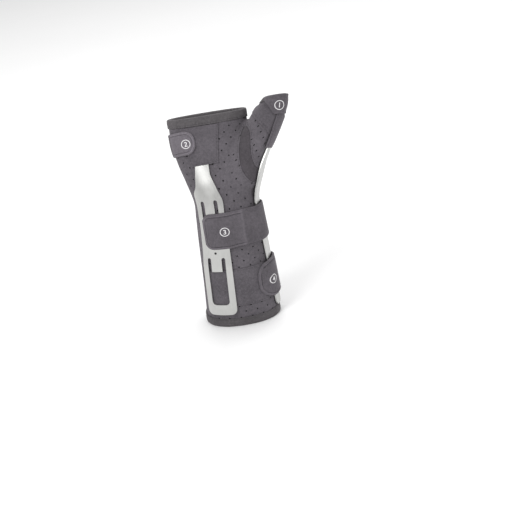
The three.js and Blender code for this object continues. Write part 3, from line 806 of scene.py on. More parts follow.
class Cloth:
    """Cloth laid on a limb: a grid of places, a height under it and a thickness."""

    THINNEST = 0.05
    # A stitch's rise out of the cloth and its half thickness, from one end to the other
    STITCH_RISE = np.array([-0.3, 0.08, 0.16, 0.08, -0.3])
    STITCH_HALF = np.array([0.1, 0.24, 0.27, 0.24, 0.1])
    STITCH_SIDES = 6
    # Where it starts and ends, as shares of the stitches' pitch
    STITCH_ENDS = (0.1, 0.9)

    def __init__(self, bench: Bench, limb: Limb) -> None:
        """Keeps the bench and the limb that the cloth lies on."""
        self.bench = bench
        self.limb = limb

    def lay(
        self, name: str, u: Array, s: Array, base: Cover, over: Cover, tone_and_painted_light: Cover | None = None
    ) -> Object:
        """Makes a closed piece of cloth.

        Args:
            name: The piece's name.
            u: Grid of places round the limb, a row for each column of the cloth.
            s: Grid of places along the limb.
            base: Height of the cloth's under face at a place.
            over: Thickness of the cloth at a place.
            tone_and_painted_light: How much lighter or darker the cloth is at a place: pressed, and with
                painted highlight and shade.

        Returns:
            The piece, with its flat place as a UV map in metres.
        """
        low = base(u, s)
        high = low + np.maximum(over(u, s), self.THINNEST)
        points = np.concatenate([self.limb.wrap(u, s, height).reshape(-1, 3) for height in (low, high)])
        obj = self.bench.make(name, points, slab_faces(*u.shape))
        lay_flat(obj, u, s)
        if tone_and_painted_light is not None:
            # The upper face carries the pressed tone and the painted highlight and shade
            shades = np.concatenate([np.zeros(u.size), tone_and_painted_light(u, s).ravel()])
            obj.data.attributes.new("tone_and_painted_light", "FLOAT", "POINT").data.foreach_set("value", shades)
        smooth(obj, 50)
        return obj

    def stitches(self, name: str, u: Array, s: Array, over: Array) -> Object:
        """Sews a row of stitches along a line on the limb.

        Args:
            name: The row's name.
            u: The line's places round the limb.
            s: The line's places along the limb.
            over: Heights of the line over the sleeve.

        Returns:
            The thread, as one object.
        """
        return self.thread(name, self.limb.wrap(u, s, over), self.limb.wrap(u, s, over - THREAD_DEPTH))

    def thread(self, name: str, path: Array, sunk: Array, pitch: float = 3.0) -> Object:
        """Makes a row of stitches.

        Args:
            name: The row's name.
            path: Points of the line on the cloth's face.
            sunk: The same points a little way into the cloth.
            pitch: Length of a stitch and the gap after it.

        Returns:
            The thread, as one object.
        """
        length = np.concatenate([[0], np.linalg.norm(np.diff(path, axis=0), axis=1).cumsum()])
        count = max(2, int(length[-1] / pitch))
        marks = np.arange(count)[:, None] + np.linspace(*self.STITCH_ENDS, len(self.STITCH_RISE))
        marks = marks * length[-1] / count
        spot = np.stack([np.interp(marks, length, path[:, k]) for k in range(3)], axis=-1)
        deep = np.stack([np.interp(marks, length, sunk[:, k]) for k in range(3)], axis=-1)
        out = spot - deep
        out /= np.linalg.norm(out, axis=-1, keepdims=True)
        along = np.gradient(spot, axis=1)
        along /= np.linalg.norm(along, axis=-1, keepdims=True)
        side = np.cross(along, out)
        around = np.linspace(0, 2 * math.pi, self.STITCH_SIDES, endpoint=False)[:, None]
        turned = side[:, :, None] * np.cos(around) + out[:, :, None] * np.sin(around)
        middle = spot[:, :, None] + (out * self.STITCH_RISE[None, :, None])[:, :, None]
        rings = middle + self.STITCH_HALF[None, :, None, None] * turned
        points, faces = [], []
        for stitch in rings:
            start = len(points) * len(self.STITCH_RISE) * self.STITCH_SIDES
            part, part_faces = plug_mesh(list(stitch))
            points.append(part)
            faces += [[start + i for i in face] for face in part_faces]
        obj = self.bench.make(name, np.concatenate(points), faces)
        smooth(obj, 60)
        return obj


# Where the stays and patches lie, as in the part's source


@dataclass(frozen=True)
class Ramp:
    """How a layer comes down beside what it lies over.

    Attributes:
        level: How far past the edge it stays up.
        length: How long its ramp down is from there.
        tip: How far past a stay's tip it stays up.
    """

    level: float
    length: float
    tip: float = 0.0


OVER_PATCH = Ramp(2, 5)
OVER_PALM_STAY = Ramp(3, 8)
OVER_THUMB_STAY = Ramp(2, 9)
OVER_TONGUE = Ramp(2, 6, 1.5)
OVER_STRIP = Ramp(1.5, 7, 1)
OVER_POCKET = Ramp(2, 7)
PAST_BAND = Ramp(2, 5)


@dataclass(frozen=True)
class Patch:
    """A four-sided patch with level ends."""

    low: float
    high: float
    left_low: float
    left_high: float
    right_low: float
    right_high: float

    def sides(self, s: Array) -> tuple[Array, Array]:
        """The patch's left and right edges at s."""
        share = (s - self.low) / (self.high - self.low)
        return mix(self.left_low, self.left_high, share), mix(self.right_low, self.right_high, share)

    def lift(self, u: Array, s: Array) -> Array:
        """How much of the patch's lift a strap over it has at a place."""
        left, right = self.sides(s)
        reach = OVER_PATCH.level
        along = beyond(s, self.low - reach, self.high + reach)
        aside = np.hypot(beyond(u, left - reach, right + reach), along)
        return (SIZES.gap + SIZES.patch) * fading(aside, OVER_PATCH.length)


PALM_PATCH = Patch(175, 216.8, -25, -32.6, 3.7, 11.6)
FOREARM_PATCH = Patch(23, 65, -43, -43, 32, 32)
STAY_POCKET = Patch(182, 226, 17.5, 9.5, 41, 33)


@dataclass(frozen=True)
class PalmStay:
    """The palm stay's outline, laid flat, and the heights that it lies at."""

    foot: float = 15
    top: float = 180
    width: float = 31
    corner: float = 6
    window_half: float = 9.4
    window_low: float = 26.5
    window_high: float = 65
    window_corner: float = 4
    slot_width: float = 3.8
    slot_top: float = 80.5
    wrist_slots_apart: float = 14
    wrist_slots_low: float = 112
    wrist_slots_high: float = 140
    hole: float = 86
    hole_radius: float = 1.3
    # How far past the forearm patch it starts to come down on the sleeve, and lies on it
    level_past: float = 3
    down_past: float = 25
    # Share up the stay, middle line, half width as a share
    outline: tuple[tuple[float, float, float], ...] = (
        (0, -22.2, 0.52),
        (0.14, -21.3, 0.52),
        (0.36, -19.5, 0.505),
        (0.51, -18.2, 0.48),
        (0.61, -17.5, 0.462),
        (0.69, -17.5, 0.468),
        (0.745, -17.3, 0.48),
        (0.77, -17.7, 0.468),
        (0.806, -18.4, 0.428),
        (0.836, -17.1, 0.345),
        (0.867, -16.8, 0.294),
        (0.903, -16.5, 0.258),
        (0.964, -14.7, 0.232),
        (1, -14.2, 0.232),
    )

    def table(self) -> Table:
        """The outline as a table of the middle line and the half width."""
        length = self.top - self.foot
        rows = [(self.foot + up * length, middle, half * self.width) for up, middle, half in self.outline]
        return Table(rows)

    def middle(self, s: Array) -> Array:
        """The stay's middle line at s."""
        return self.table().column(1, s)

    def edges(self, s: Array) -> tuple[Array, Array]:
        """The stay's left and right edges at s."""
        half = self.table().column(2, s) - rounded_inset(s - self.foot, self.corner)
        return self.middle(s) - half, self.middle(s) + half

    def base(self, s: Array) -> Array:
        """Height of the stay's under face at s."""
        past_patch = ease(FOREARM_PATCH.high + self.level_past, FOREARM_PATCH.high + self.down_past, s)
        return mix(SIZES.gap * 2 + SIZES.patch, SIZES.clearance, past_patch)

    def roof(self, s: Array) -> Array:
        """Height just over the stay at s."""
        return self.base(s) + SIZES.stay + SIZES.gap


@dataclass(frozen=True)
class ThumbStay:
    """The strip up the thumb side, its face turned a little towards the palm."""

    foot: float = 10
    top: float = 211
    theta: float = math.radians(76)
    turn: float = math.radians(16)
    width: float = 16
    thick: float = 1.8
    standoff: float = 0.5
    taper: float = 0.72
    corner: float = 6
    # The length below the pocket over which it narrows
    narrows_over: float = 20
    # Its corners are drawn in by this share of their radius at the tips
    corner_share: float = 0.9
    # The heights between which it bridges the hollow of the wrist
    leaves: float = 128
    lands: float = 158
    # How softly it passes from the arm to the thumb, and the radius of the side that it lies on
    softness: float = 2.5
    side_radius: float = 20

    def roof(self, width: float) -> float:
        """Height just over the strip's edges, which stand off a curved side."""
        return self.standoff + self.thick + width**2 / (8 * self.side_radius) + SIZES.gap

    def half(self, s: Array) -> Array:
        """Half the strip's width at s, with its rounded ends."""
        taper = mix(1, self.taper, ease(STAY_POCKET.low - self.narrows_over, STAY_POCKET.low, s))
        from_end = np.minimum(s - self.foot, self.top - s)
        return self.width * taper / 2 - rounded_inset(from_end, self.corner * self.corner_share)

    def beside(self, s: Array) -> Array:
        """Where the thumb side of the sleeve lies under the strip's middle line: outwards, then back."""
        first, second = THUMB_TUBE.rows[0, 0], THUMB_TUBE.rows[1, 0]

        def section(limb: Limb, level: Array) -> tuple[Array, Array]:
            """The limb's side at a level: its x, and how far behind the arm's middle line it is."""
            point = limb.place(np.full(s.shape, self.theta), level, self.standoff)
            line_y, _, line_lean = spine(level)
            return point[..., 0], (point[..., 1] - line_y) / np.cos(line_lean)

        arm_x, arm_back = section(ARM, s)
        thumb_x, thumb_back = section(THUMB_TUBE, np.maximum(s, first))
        lead = ease(first, second, s)
        reach = np.clip((thumb_x - arm_x) / self.softness, -40, 40)
        x = arm_x + lead * self.softness * np.log1p(np.exp(reach))
        return np.stack([x, mix(arm_back, thumb_back, lead / (1 + np.exp(-reach)))])

    def line(self, s: Array) -> Array:
        """The strip's middle line, which leaves the sleeve and lands on it again in one smooth curve."""
        length = self.lands - self.leaves
        t = np.clip((s - self.leaves) / length, 0, 1)
        ends = np.array([self.leaves - 1, self.leaves, self.lands, self.lands + 1], float)
        before, start, stop, after = self.beside(ends).T[:, :, None]
        straight = start * (2 * t**3 - 3 * t**2 + 1) + stop * (3 * t**2 - 2 * t**3)
        bow = (start - before) * (t**3 - 2 * t**2 + t) + (after - stop) * (t**3 - t**2)
        between = (s > self.leaves) & (s < self.lands)
        return np.where(between, straight + length * bow, self.beside(s))

    def place(self, s: Array, across: Array, over: Array) -> Array:
        """Points of the strip: along it, across it from its middle, and over its inner face."""
        s, across, over = np.broadcast_arrays(s, across, over)
        x, back = self.line(s.ravel()).reshape(2, *s.shape)
        out = x + over * math.cos(self.turn) + across * math.sin(self.turn)
        depth = back + across * math.cos(self.turn) - over * math.sin(self.turn)
        return bent(out, depth, s)


PALM_STAY = PalmStay()
THUMB_STAY = ThumbStay()


def strap_base(u: Array, s: Array) -> Array:
    """Height of a strap's under face: close to the sleeve, and over the patches and the stays."""
    patches = np.maximum(PALM_PATCH.lift(u, s), FOREARM_PATCH.lift(u, s))
    left, right = PALM_STAY.edges(s)
    reach = OVER_PALM_STAY.level
    on_stay = fading(beyond(u, left - reach, right + reach), OVER_PALM_STAY.length)
    from_middle = np.abs(u - ARM.girth_to(THUMB_STAY.theta, s))
    aside = np.maximum(from_middle - THUMB_STAY.width / 2 - OVER_THUMB_STAY.level, 0)
    over_thumb_stay = THUMB_STAY.roof(THUMB_STAY.width) * fading(aside, OVER_THUMB_STAY.length)
    return np.maximum(np.maximum(SIZES.clearance + patches, PALM_STAY.roof(s) * on_stay), over_thumb_stay)


def palm_patch_base(u: Array, s: Array) -> Array:
    """Height of the palm patch's under face, raised over the stay's tongue."""
    left, right = PALM_STAY.edges(np.minimum(s, PALM_STAY.top))
    reach = OVER_TONGUE.level
    past_tip = np.maximum(s - PALM_STAY.top - OVER_TONGUE.tip, 0)
    aside = np.hypot(beyond(u, left - reach, right + reach), past_tip)
    return SIZES.gap + (SIZES.clearance + SIZES.stay) * fading(aside, OVER_TONGUE.length)


def pocket_base(u: Array, s: Array) -> Array:
    """Height of the stay pocket's under face, raised over the thumb stay."""
    on_band = fading(np.maximum(u - ThumbBand.right - PAST_BAND.level, 0), PAST_BAND.length)
    rest = mix(SIZES.gap + SIZES.clearance, SIZES.gap * 2 + SIZES.patch, on_band)
    width = THUMB_STAY.width * THUMB_STAY.taper
    from_middle = np.abs(u - THUMB_TUBE.girth_to(THUMB_STAY.theta, s))
    across = np.maximum(from_middle - width / 2 - OVER_STRIP.level, 0)
    aside = np.hypot(across, np.maximum(s - THUMB_STAY.top - OVER_STRIP.tip, 0))
    return rest + (THUMB_STAY.roof(width) - rest) * fading(aside, OVER_STRIP.length)


def thumb_strap_base(u: Array, s: Array) -> Array:
    """Height of the thumb strap's under face, over the pocket and down on the thumb mouth's tape."""
    over_tape = SIZES.gap + SIZES.tape + SIZES.clearance
    on_pocket = fading(np.maximum(s - STAY_POCKET.high - OVER_POCKET.level, 0), OVER_POCKET.length)
    return mix(over_tape, pocket_base(u, s) + SIZES.patch + SIZES.clearance, on_pocket)


def near_edge(u: Array, s: Array, line: Array) -> Array:
    """Distance of places on the flat cloth from a closed line.

    Args:
        u: Places across.
        s: Places along.
        line: The line's points.

    Returns:
        The distances, in millimetres.
    """
    best = np.full(u.shape, FAR)
    for (au, as_), (bu, bs) in zip(line, np.roll(line, -1, 0)):
        du, ds = bu - au, bs - as_
        # A tiny length more, because two of the line's points may fall together
        size = du * du + ds * ds + 1e-12
        t = np.clip(((u - au) * du + (s - as_) * ds) / size, 0, 1)
        best = np.minimum(best, np.hypot(u - au - t * du, s - as_ - t * ds))
    return best


def edge_rows(half: float, middle: float = 2.2) -> Array:
    """Distances of a grid's rows from an edge, close together where it rounds off and is pressed.

    Args:
        half: The distance from the edge to the middle.
        middle: Spacing of the rows in the middle.

    Returns:
        The distances, up to and with the middle.
    """
    close = np.array([0, 0.12, 0.35, 0.7, 1.15, 1.7, 2.2, 2.6, 2.9, 3.2, 3.6, 4.2])
    close = close[close < half - 0.4]
    return np.concatenate([close, steps(close[-1], half, middle)[1:]])


def both_edges(length: float, middle: float = 2.2) -> Array:
    """Distances from one edge of a grid to the other, close together at both."""
    near = edge_rows(length / 2, middle)
    return np.concatenate([near, length - near[-2::-1]])


def rounding(distance: Array, radius: float) -> Array:
    """Height of a rounded edge as a share of its full height, at a distance in from it."""
    return np.sqrt(1 - (1 - np.clip(distance / radius, 0, 1)) ** 2)


def rounded_cloth(thick: float, share: float, radius: float, distance: Array) -> Array:
    """Thickness of cloth at a distance in from its edge, where it is rounded down to a share of it."""
    return thick * (share + (1 - share) * rounding(distance, radius))


def sewn_cloth(thick: float, dip: float, distance: Array) -> Array:
    """Thickness of thin cloth at a distance in from its edge, with a dip under its row of stitches."""
    return rounded_cloth(thick, 0.35, 0.8, distance) - dip * soft_line(distance, ROW_IN, 0.6)


@dataclass
class Strap:
    """A padded strap that wraps the limb from a rounded hook tab to a sewn end."""

    name: str
    node: str
    tip: float
    sewn: float
    low: float
    high: float
    corner: float
    tab: float
    thick: float = SIZES.strap
    # The tab's pressed border: its distance in from the edge and its depth
    border: float = 2.9
    press: float = 0.75
    # How much thicker the tab is, and how much lighter a painted highlight makes it
    tab_step: float = 0.45
    painted_tab_highlight: float = 0.0
    # The radius of its long edges, and how far apart its grid's columns are
    edge_radius: float = 1.5
    column_step: float = 1.9
    # Length of the box of stitches at its sewn end
    box: float = 11.8

    @property
    def way(self) -> float:
        """1 where the strap runs from its tip towards the thumb side, and -1 where it runs away from it."""
        return math.copysign(1, self.sewn - self.tip)

    def outline(self) -> Array:
        """The strap's flat outline, as places round the limb and along it."""
        reach = steps(0, self.corner, 0.8)
        inset = rounded_inset(reach, self.corner)
        u = self.tip + self.way * reach
        upper = np.stack([u, self.high - inset], axis=1)[::-1]
        lower = np.stack([u, self.low + inset], axis=1)
        return np.concatenate([[[self.sewn, self.high]], upper, lower, [[self.sewn, self.low]]])

    def build(self, cloth: Cloth) -> list[Object]:
        """Makes the strap and sews its end down with a box of stitches.

        Args:
            cloth: The cloth maker, on the arm.

        Returns:
            The strap, rounded at its edges and pressed along its border, then its thread.
        """
        length = abs(self.sewn - self.tip)
        reach = both_edges(length, self.column_step)
        inset = rounded_inset(reach, self.corner)
        share = both_edges(self.high - self.low) / (self.high - self.low)
        u = np.repeat((self.tip + self.way * reach)[:, None], len(share), axis=1)
        s = mix((self.low + inset)[:, None], (self.high - inset)[:, None], share[None, :])
        if self.way < 0:
            u, s = u[::-1], s[::-1]
        line = self.outline()

        def where(at_u: Array, at_s: Array) -> tuple[Array, Array, Array]:
            """Distance of a place from the edge and from the tip, and 1 in the tab or 0 past it."""
            along = (at_u - self.tip) * self.way
            return near_edge(at_u, at_s, line), along, 1 - ease(self.tab - 1, self.tab + 1, along)

        def over(at_u: Array, at_s: Array) -> Array:
            """Thickness of the strap at a place."""
            distance, along, in_tab = where(at_u, at_s)
            full = rounded_cloth(self.thick, 0.3, self.edge_radius, distance)
            pressed = self.press * soft_line(distance, self.border, 0.55) * in_tab
            step = self.tab_step * in_tab * rounding(distance, self.edge_radius)
            crest = 0.35 * soft_line(along, self.tab, 1.1) * rounding(distance, 2)
            wave = 0.14 * np.sin(along * 0.21 + 0.7) * np.sin(at_s * 0.13 + 1.1) * ease(1, 6, distance)
            return full - pressed + step + crest + wave

        def tone_and_painted_light(at_u: Array, at_s: Array) -> Array:
            """Lighter over the heat-pressed tab, with painted highlight on its border's inner slope, its
            fold and the strap's rounded edge, and painted shade in the border's groove.
            """
            distance, along, in_tab = where(at_u, at_s)
            # Painted highlight on the lit inner slope of the pressed border
            rim = 0.48 * soft_line(distance, self.border - 0.9, 0.5)
            # Painted shade in the border's groove
            groove_shade = 0.42 * soft_line(distance, self.border + 0.1, 0.45)
            # Painted highlight along the tab's fold
            fold_highlight = 0.34 * soft_line(along, self.tab, 1.5)
            # Painted highlight along the strap's rounded cut edge
            worn = 0.2 * soft_line(distance, 0, 0.7)
            return in_tab * (rim - groove_shade + 0.15 + self.painted_tab_highlight) + fold_highlight + worn - 0.08

        pieces = [cloth.lay(self.name, u, s, strap_base, over, tone_and_painted_light)]
        corners = box_corners(self.sewn, self.way * self.box, self.way * BOX_IN, self.low, self.high)
        height = lambda x, y: strap_base(x, y) + self.thick
        return pieces + sew_corners(cloth, f"{self.name}_box_stitch", corners, height)

    def top(self, u: Array, s: Array) -> Array:
        """Height of the strap's upper face at a place on its tab, inside the border."""
        return strap_base(u, s) + self.thick + self.tab_step


def box_corners(end: float, length: float, inset: float, low: float, high: float) -> Line:
    """Corners of a box of stitches at a strap's sewn end.

    Args:
        end: Where the strap ends.
        length: The box's length, and below 0 where the strap ran the other way.
        inset: How far in from the end it starts, with the same sign.
        low: The strap's lower edge.
        high: Its upper edge.

    Returns:
        The corners, the first one twice.
    """
    outer, inner = end - inset, end - length - inset
    low, high = low + BOX_IN, high - BOX_IN
    return [(outer, low), (outer, high), (inner, high), (inner, low), (outer, low)]


def sew_corners(
    cloth: Cloth, name: str, corners: Line, height: Cover, count: int = 40
) -> list[Object]:
    """Sews straight rows from corner to corner.

    Args:
        cloth: The cloth maker.
        name: The name that the rows' names start with.
        corners: Corners as places round the limb and along it.
        height: Height of the cloth's face at a place.
        count: How many points there are on a row.

    Returns:
        The rows of thread.
    """
    rows = []
    for number, (start, stop) in enumerate(zip(corners, corners[1:]), 1):
        u, s = np.linspace(start, stop, count).T
        rows.append(cloth.stitches(f"{name}_{number}", u, s, height(u, s)))
    return rows


def declare_cut(
    limb: Limb, u: Array, s: Array, base: Cover, pieces: Sequence[Object], under: Sequence[str]
) -> None:
    """Works out points halfway through a laid piece of cloth, in metres, and does nothing more with them.

    Args:
        limb: The limb that it lies on.
        u: Grid of places round the limb.
        s: Grid of places along the limb.
        base: Height of the cloth's under face at a place.
        pieces: Not used.
        under: Not used.
    """
    points = limb.wrap(u, s, base(u, s) + SIZES.patch / 2) * MM


@dataclass
class PatchPiece:
    """A sewn-on patch of thin cloth."""

    name: str
    node: str
    patch: Patch
    base: Cover
    sewn: tuple[str, ...]
    thick: float = SIZES.patch

    def grid(self, step: float = 1.6) -> tuple[Array, Array]:
        """The patch's grid of places round the limb and along it."""
        low, high = self.patch.low, self.patch.high
        s = low + both_edges(high - low, step)
        left, right = self.patch.sides(s)
        width = float((right - left).mean())
        share = both_edges(width, step) / width
        u = mix(left[None, :], right[None, :], share[:, None])
        return u, np.broadcast_to(s[None, :], u.shape).copy()

    def corners(self, inset: float) -> dict[str, Line]:
        """The lines just inside the patch's four edges, by name."""
        low, high = self.patch.low + inset, self.patch.high - inset
        (a, b), (c, d) = (self.patch.sides(np.array(v)) for v in (low, high))
        a, b, c, d = float(a) + inset, float(b) - inset, float(c) + inset, float(d) - inset
        return {
            "low": ((a, low), (b, low)),
            "right": ((b, low), (d, high)),
            "high": ((d, high), (c, high)),
            "left": ((c, high), (a, low)),
        }

    def build(self, cloth: Cloth) -> list[Object]:
        """Makes the patch and the thread that holds it.

        Args:
            cloth: The cloth maker, on the patch's limb.

        Returns:
            The patch, then its rows of thread.
        """
        u, s = self.grid()
        line = np.array([start for start, _ in self.corners(0).values()])

        def over(at_u: Array, at_s: Array) -> Array:
            """Thickness of the patch at a place."""
            return sewn_cloth(self.thick, 0.22, near_edge(at_u, at_s, line))

        def face(at_u: Array, at_s: Array) -> Array:
            """Height of the patch's upper face in the stitches' dip."""
            return self.base(at_u, at_s) + self.thick - 0.2

        pieces = [cloth.lay(self.name, u, s, self.base, over)]
        for side in self.sewn:
            pieces += sew_corners(cloth, f"{self.name}_{side}_stitch", self.corners(ROW_IN)[side], face)
        return pieces


@dataclass
class Tape:
    """Binding tape folded over an edge of the sleeve and sewn through."""

    name: str
    node: str
    limb: Limb
    edge: Callable[[Array, Array], Array]
    width: float
    direction: float
    sides: int = 220
    row_points: int = 400

    def profile(self) -> Line:
        """The tape's section as height over the sleeve and distance past the edge, from its outer hem."""
        z = SIZES
        out, inside = z.gap + z.tape, -(z.wall + z.gap + z.tape)
        middle, round_half = (out + inside) / 2, (out - inside) / 2
        hem = -self.width
        face = [(z.gap + 0.1, hem), (z.gap + 0.55, hem + 0.05), (out - 0.08, hem + 0.35), (out, hem + 0.9)]
        face += [(out - 0.22, hem + 1.7), (out, hem + 2.5)]
        face += [(out + 0.12 * math.sin(math.pi * t), mix(hem + 3.2, -0.6, t)) for t in np.linspace(0, 1, 5)]
        top = z.gap + z.tape
        arc = np.linspace(0, math.pi, 11)[1:-1]
        face += [(middle + round_half * math.cos(a), -0.3 + (top + 0.3) * math.sin(a) ** 0.8) for a in arc]
        face += [(inside, -0.6), (inside, hem + 0.9), (inside + 0.3, hem + 0.2), (inside + z.tape, hem)]
        under = inside + z.tape
        face += [(under, z.gap - 0.3), (under + 0.3, z.gap), (z.gap - 0.3, z.gap), (z.gap, z.gap - 0.3)]
        return face

    def flat(self) -> tuple[float, float]:
        """The tape's width and length before it was folded over the edge, in metres."""
        profile = self.profile()
        around = sum(math.dist(a, b) for a, b in zip(profile, profile[1:] + profile[:1]))
        theta = np.linspace(0, 2 * math.pi, self.sides)
        line = self.limb.place(theta, self.edge(theta, np.zeros(self.sides)), 0.0)
        return around / 2 * MM, float(np.linalg.norm(np.diff(line, axis=0), axis=1).sum()) * MM

    def build(self, cloth: Cloth) -> list[Object]:
        """Makes the tape and its row of stitches.

        Args:
            cloth: The cloth maker, on the tape's limb.

        Returns:
            The tape, then its thread.
        """
        profile = self.profile()
        theta = np.linspace(0, 2 * math.pi, self.sides, endpoint=False)
        rings = []
        for height, past in profile:
            level = self.edge(theta, np.full(self.sides, height)) + self.direction * past
            rings.append(self.limb.place(theta, level, height))
        count, sides = len(profile), self.sides
        faces = [face for r in range(count) for face in belt(r * sides, (r + 1) % count * sides, sides)]
        if self.direction < 0:
            faces = [face[::-1] for face in faces]
        obj = cloth.bench.make(self.name, np.concatenate(rings), faces)
        girth = float(np.linalg.norm(np.diff(rings[8], axis=0), axis=1).sum())
        around = [math.dist(a, b) for a, b in zip(profile, profile[1:])]
        along = np.concatenate([[0], np.cumsum(around)])
        layer = obj.data.uv_layers.new(name="cloth")
        for face in obj.data.polygons:
            for loop, vertex in zip(face.loop_indices, face.vertices):
                ring, side = divmod(vertex, sides)
                if side == 0 and max(v % sides for v in face.vertices) == sides - 1:
                    side = sides
                layer.data[loop].uv = (side / sides * girth * MM, along[ring] * MM)
        smooth(obj, 60)
        theta = np.linspace(0, 2 * math.pi, self.row_points)
        row = self.edge(theta, np.zeros(self.row_points)) + self.direction * (ROW_IN - self.width)
        span = self.limb.girth_to(np.where(theta > math.pi, theta - 2 * math.pi, theta), row)
        order = np.argsort(span)
        over = np.full(self.row_points, SIZES.gap + SIZES.tape - 0.2)
        return [obj, cloth.stitches(f"{self.name}_stitch", span[order], row[order], over)]


class MetalWork:
    """The two formed aluminium stays, with eased edges."""

    # Heights that a cutter reaches from and to, and how far apart its points are at most
    CUT_FROM = 6.5
    CUT_TO = -3.0
    CUT_STEP = 2
    # Spacing of the stays' rows, and the width of their eased edges
    ROW_STEP = 1.5
    EASED = 0.32

    def __init__(self, bench: Bench) -> None:
        """Keeps the bench that makes the meshes."""
        self.bench = bench

    def palm_stay(self) -> Object:
        """Makes the palm stay, with its window, slots and rivet hole."""
        stay = PALM_STAY
        cloth = Cloth(self.bench, ARM)
        corner = stay.foot + np.array([0, 0.1, 0.3, 0.7, 1.3, 2.2, 3.4, 4.6])
        s = np.concatenate([corner, steps(stay.foot + stay.corner, stay.top, self.ROW_STEP)])
        left, right = stay.edges(s)
        share = np.linspace(0, 1, 25)
        u = mix(left[None, :], right[None, :], share[:, None])
        grid = np.broadcast_to(s[None, :], u.shape).copy()
        thick = lambda at, _: np.full(at.shape, SIZES.stay)
        plate = cloth.lay("palm_stay_plate", u, grid, lambda _, at: stay.base(at), thick)
        for outline in self._openings():
            cutter = self._cutter(outline)
            apply_modifier(plate, "BOOLEAN", operation="DIFFERENCE", object=cutter, solver="EXACT")
            drop(cutter)
        self._ease(plate)
        return plate

    def _openings(self) -> list[Array]:
        """Outlines of the window, the slots and the rivet hole, about the stay's middle line."""
        stay, half = PALM_STAY, PALM_STAY.slot_width / 2
        turn = np.linspace(0, math.pi, 9)
        quarter = np.linspace(0, math.pi / 2, 6)
        c, w, low, top = stay.window_corner, stay.window_half, stay.window_low, stay.slot_top - half
        window = [(w - c + c * math.sin(a), low + c - c * math.cos(a)) for a in quarter]
        window += [(w - half + half * math.cos(a), top + half * math.sin(a)) for a in turn]
        window += [(w - 2 * half, stay.window_high), (-w + 2 * half, stay.window_high)]
        window += [(-w + half + half * math.cos(a), top + half * math.sin(a)) for a in turn]
        window += [(-w + c - c * math.sin(a), low + c - c * math.cos(a)) for a in quarter[::-1]]
        outlines = [np.array(window)]
        for side in (-1, 1):
            x, high, low = side * stay.wrist_slots_apart / 2, stay.wrist_slots_high, stay.wrist_slots_low
            slot = [(x + half * math.cos(a), high - half + half * math.sin(a)) for a in turn]
            slot += [(x - half * math.cos(a), low + half - half * math.sin(a)) for a in turn]
            outlines.append(np.array(slot))
        around = np.linspace(0, 2 * math.pi, 20, endpoint=False)
        radius = stay.hole_radius
        hole = np.stack([radius * np.cos(around), stay.hole + radius * np.sin(around)], axis=1)
        return [*outlines, hole]

    def _cutter(self, outline: Array) -> Object:
        """A cutter through the palm stay, from its outline about the stay's middle line."""
        fine = []
        for start, stop in zip(outline, np.roll(outline, -1, 0)):
            count = max(1, math.ceil(math.dist(start, stop) / self.CUT_STEP))
            fine += [mix(start, stop, i / count) for i in range(count)]
        across, s = np.array(fine).T
        u = PALM_STAY.middle(s) + across
        ends = [ARM.wrap(u, s, height) for height in (self.CUT_FROM, self.CUT_TO)]
        cutter = self.bench.make("stay_cutter", np.concatenate(ends), prism_faces(len(fine)))
        self._turn_out(cutter, triangles=True)
        return cutter

    def _turn_out(self, obj: Object, triangles: bool = False) -> None:
        """Turns an object's faces outwards, cut into triangles first if that is asked for."""
        only(obj)
        bpy.ops.object.mode_set(mode="EDIT")
        bpy.ops.mesh.select_all(action="SELECT")
        if triangles:
            bpy.ops.mesh.quads_convert_to_tris(ngon_method="BEAUTY")
        bpy.ops.mesh.normals_make_consistent(inside=False)
        bpy.ops.object.mode_set(mode="OBJECT")

    def _ease(self, obj: Object) -> None:
        """Rounds the sharp edges of sheet metal a little and shades it smooth."""
        limit = {"limit_method": "ANGLE", "angle_limit": math.radians(50)}
        apply_modifier(obj, "BEVEL", width=self.EASED * MM, segments=2, **limit)
        smooth(obj)

    def thumb_stay(self) -> Object:
        """Makes the thumb stay's strip."""
        stay = THUMB_STAY
        ends = stay.corner * np.array([0, 0.03, 0.1, 0.22, 0.4, 0.62, 0.85])
        length = steps(stay.foot + stay.corner, stay.top - stay.corner, self.ROW_STEP)
        s = np.concatenate([stay.foot + ends, length, stay.top - ends[::-1]])
        across = stay.half(s)[None, :] * np.linspace(-1, 1, 9)[:, None]
        grid = np.broadcast_to(s[None, :], across.shape)
        faces = [stay.place(grid, across, over).reshape(-1, 3) for over in (0.0, stay.thick)]
        strip = self.bench.make("thumb_stay_strip", np.concatenate(faces), slab_faces(*across.shape))
        self._turn_out(strip)
        lay_flat(strip, across, grid)
        self._ease(strip)
        return strip


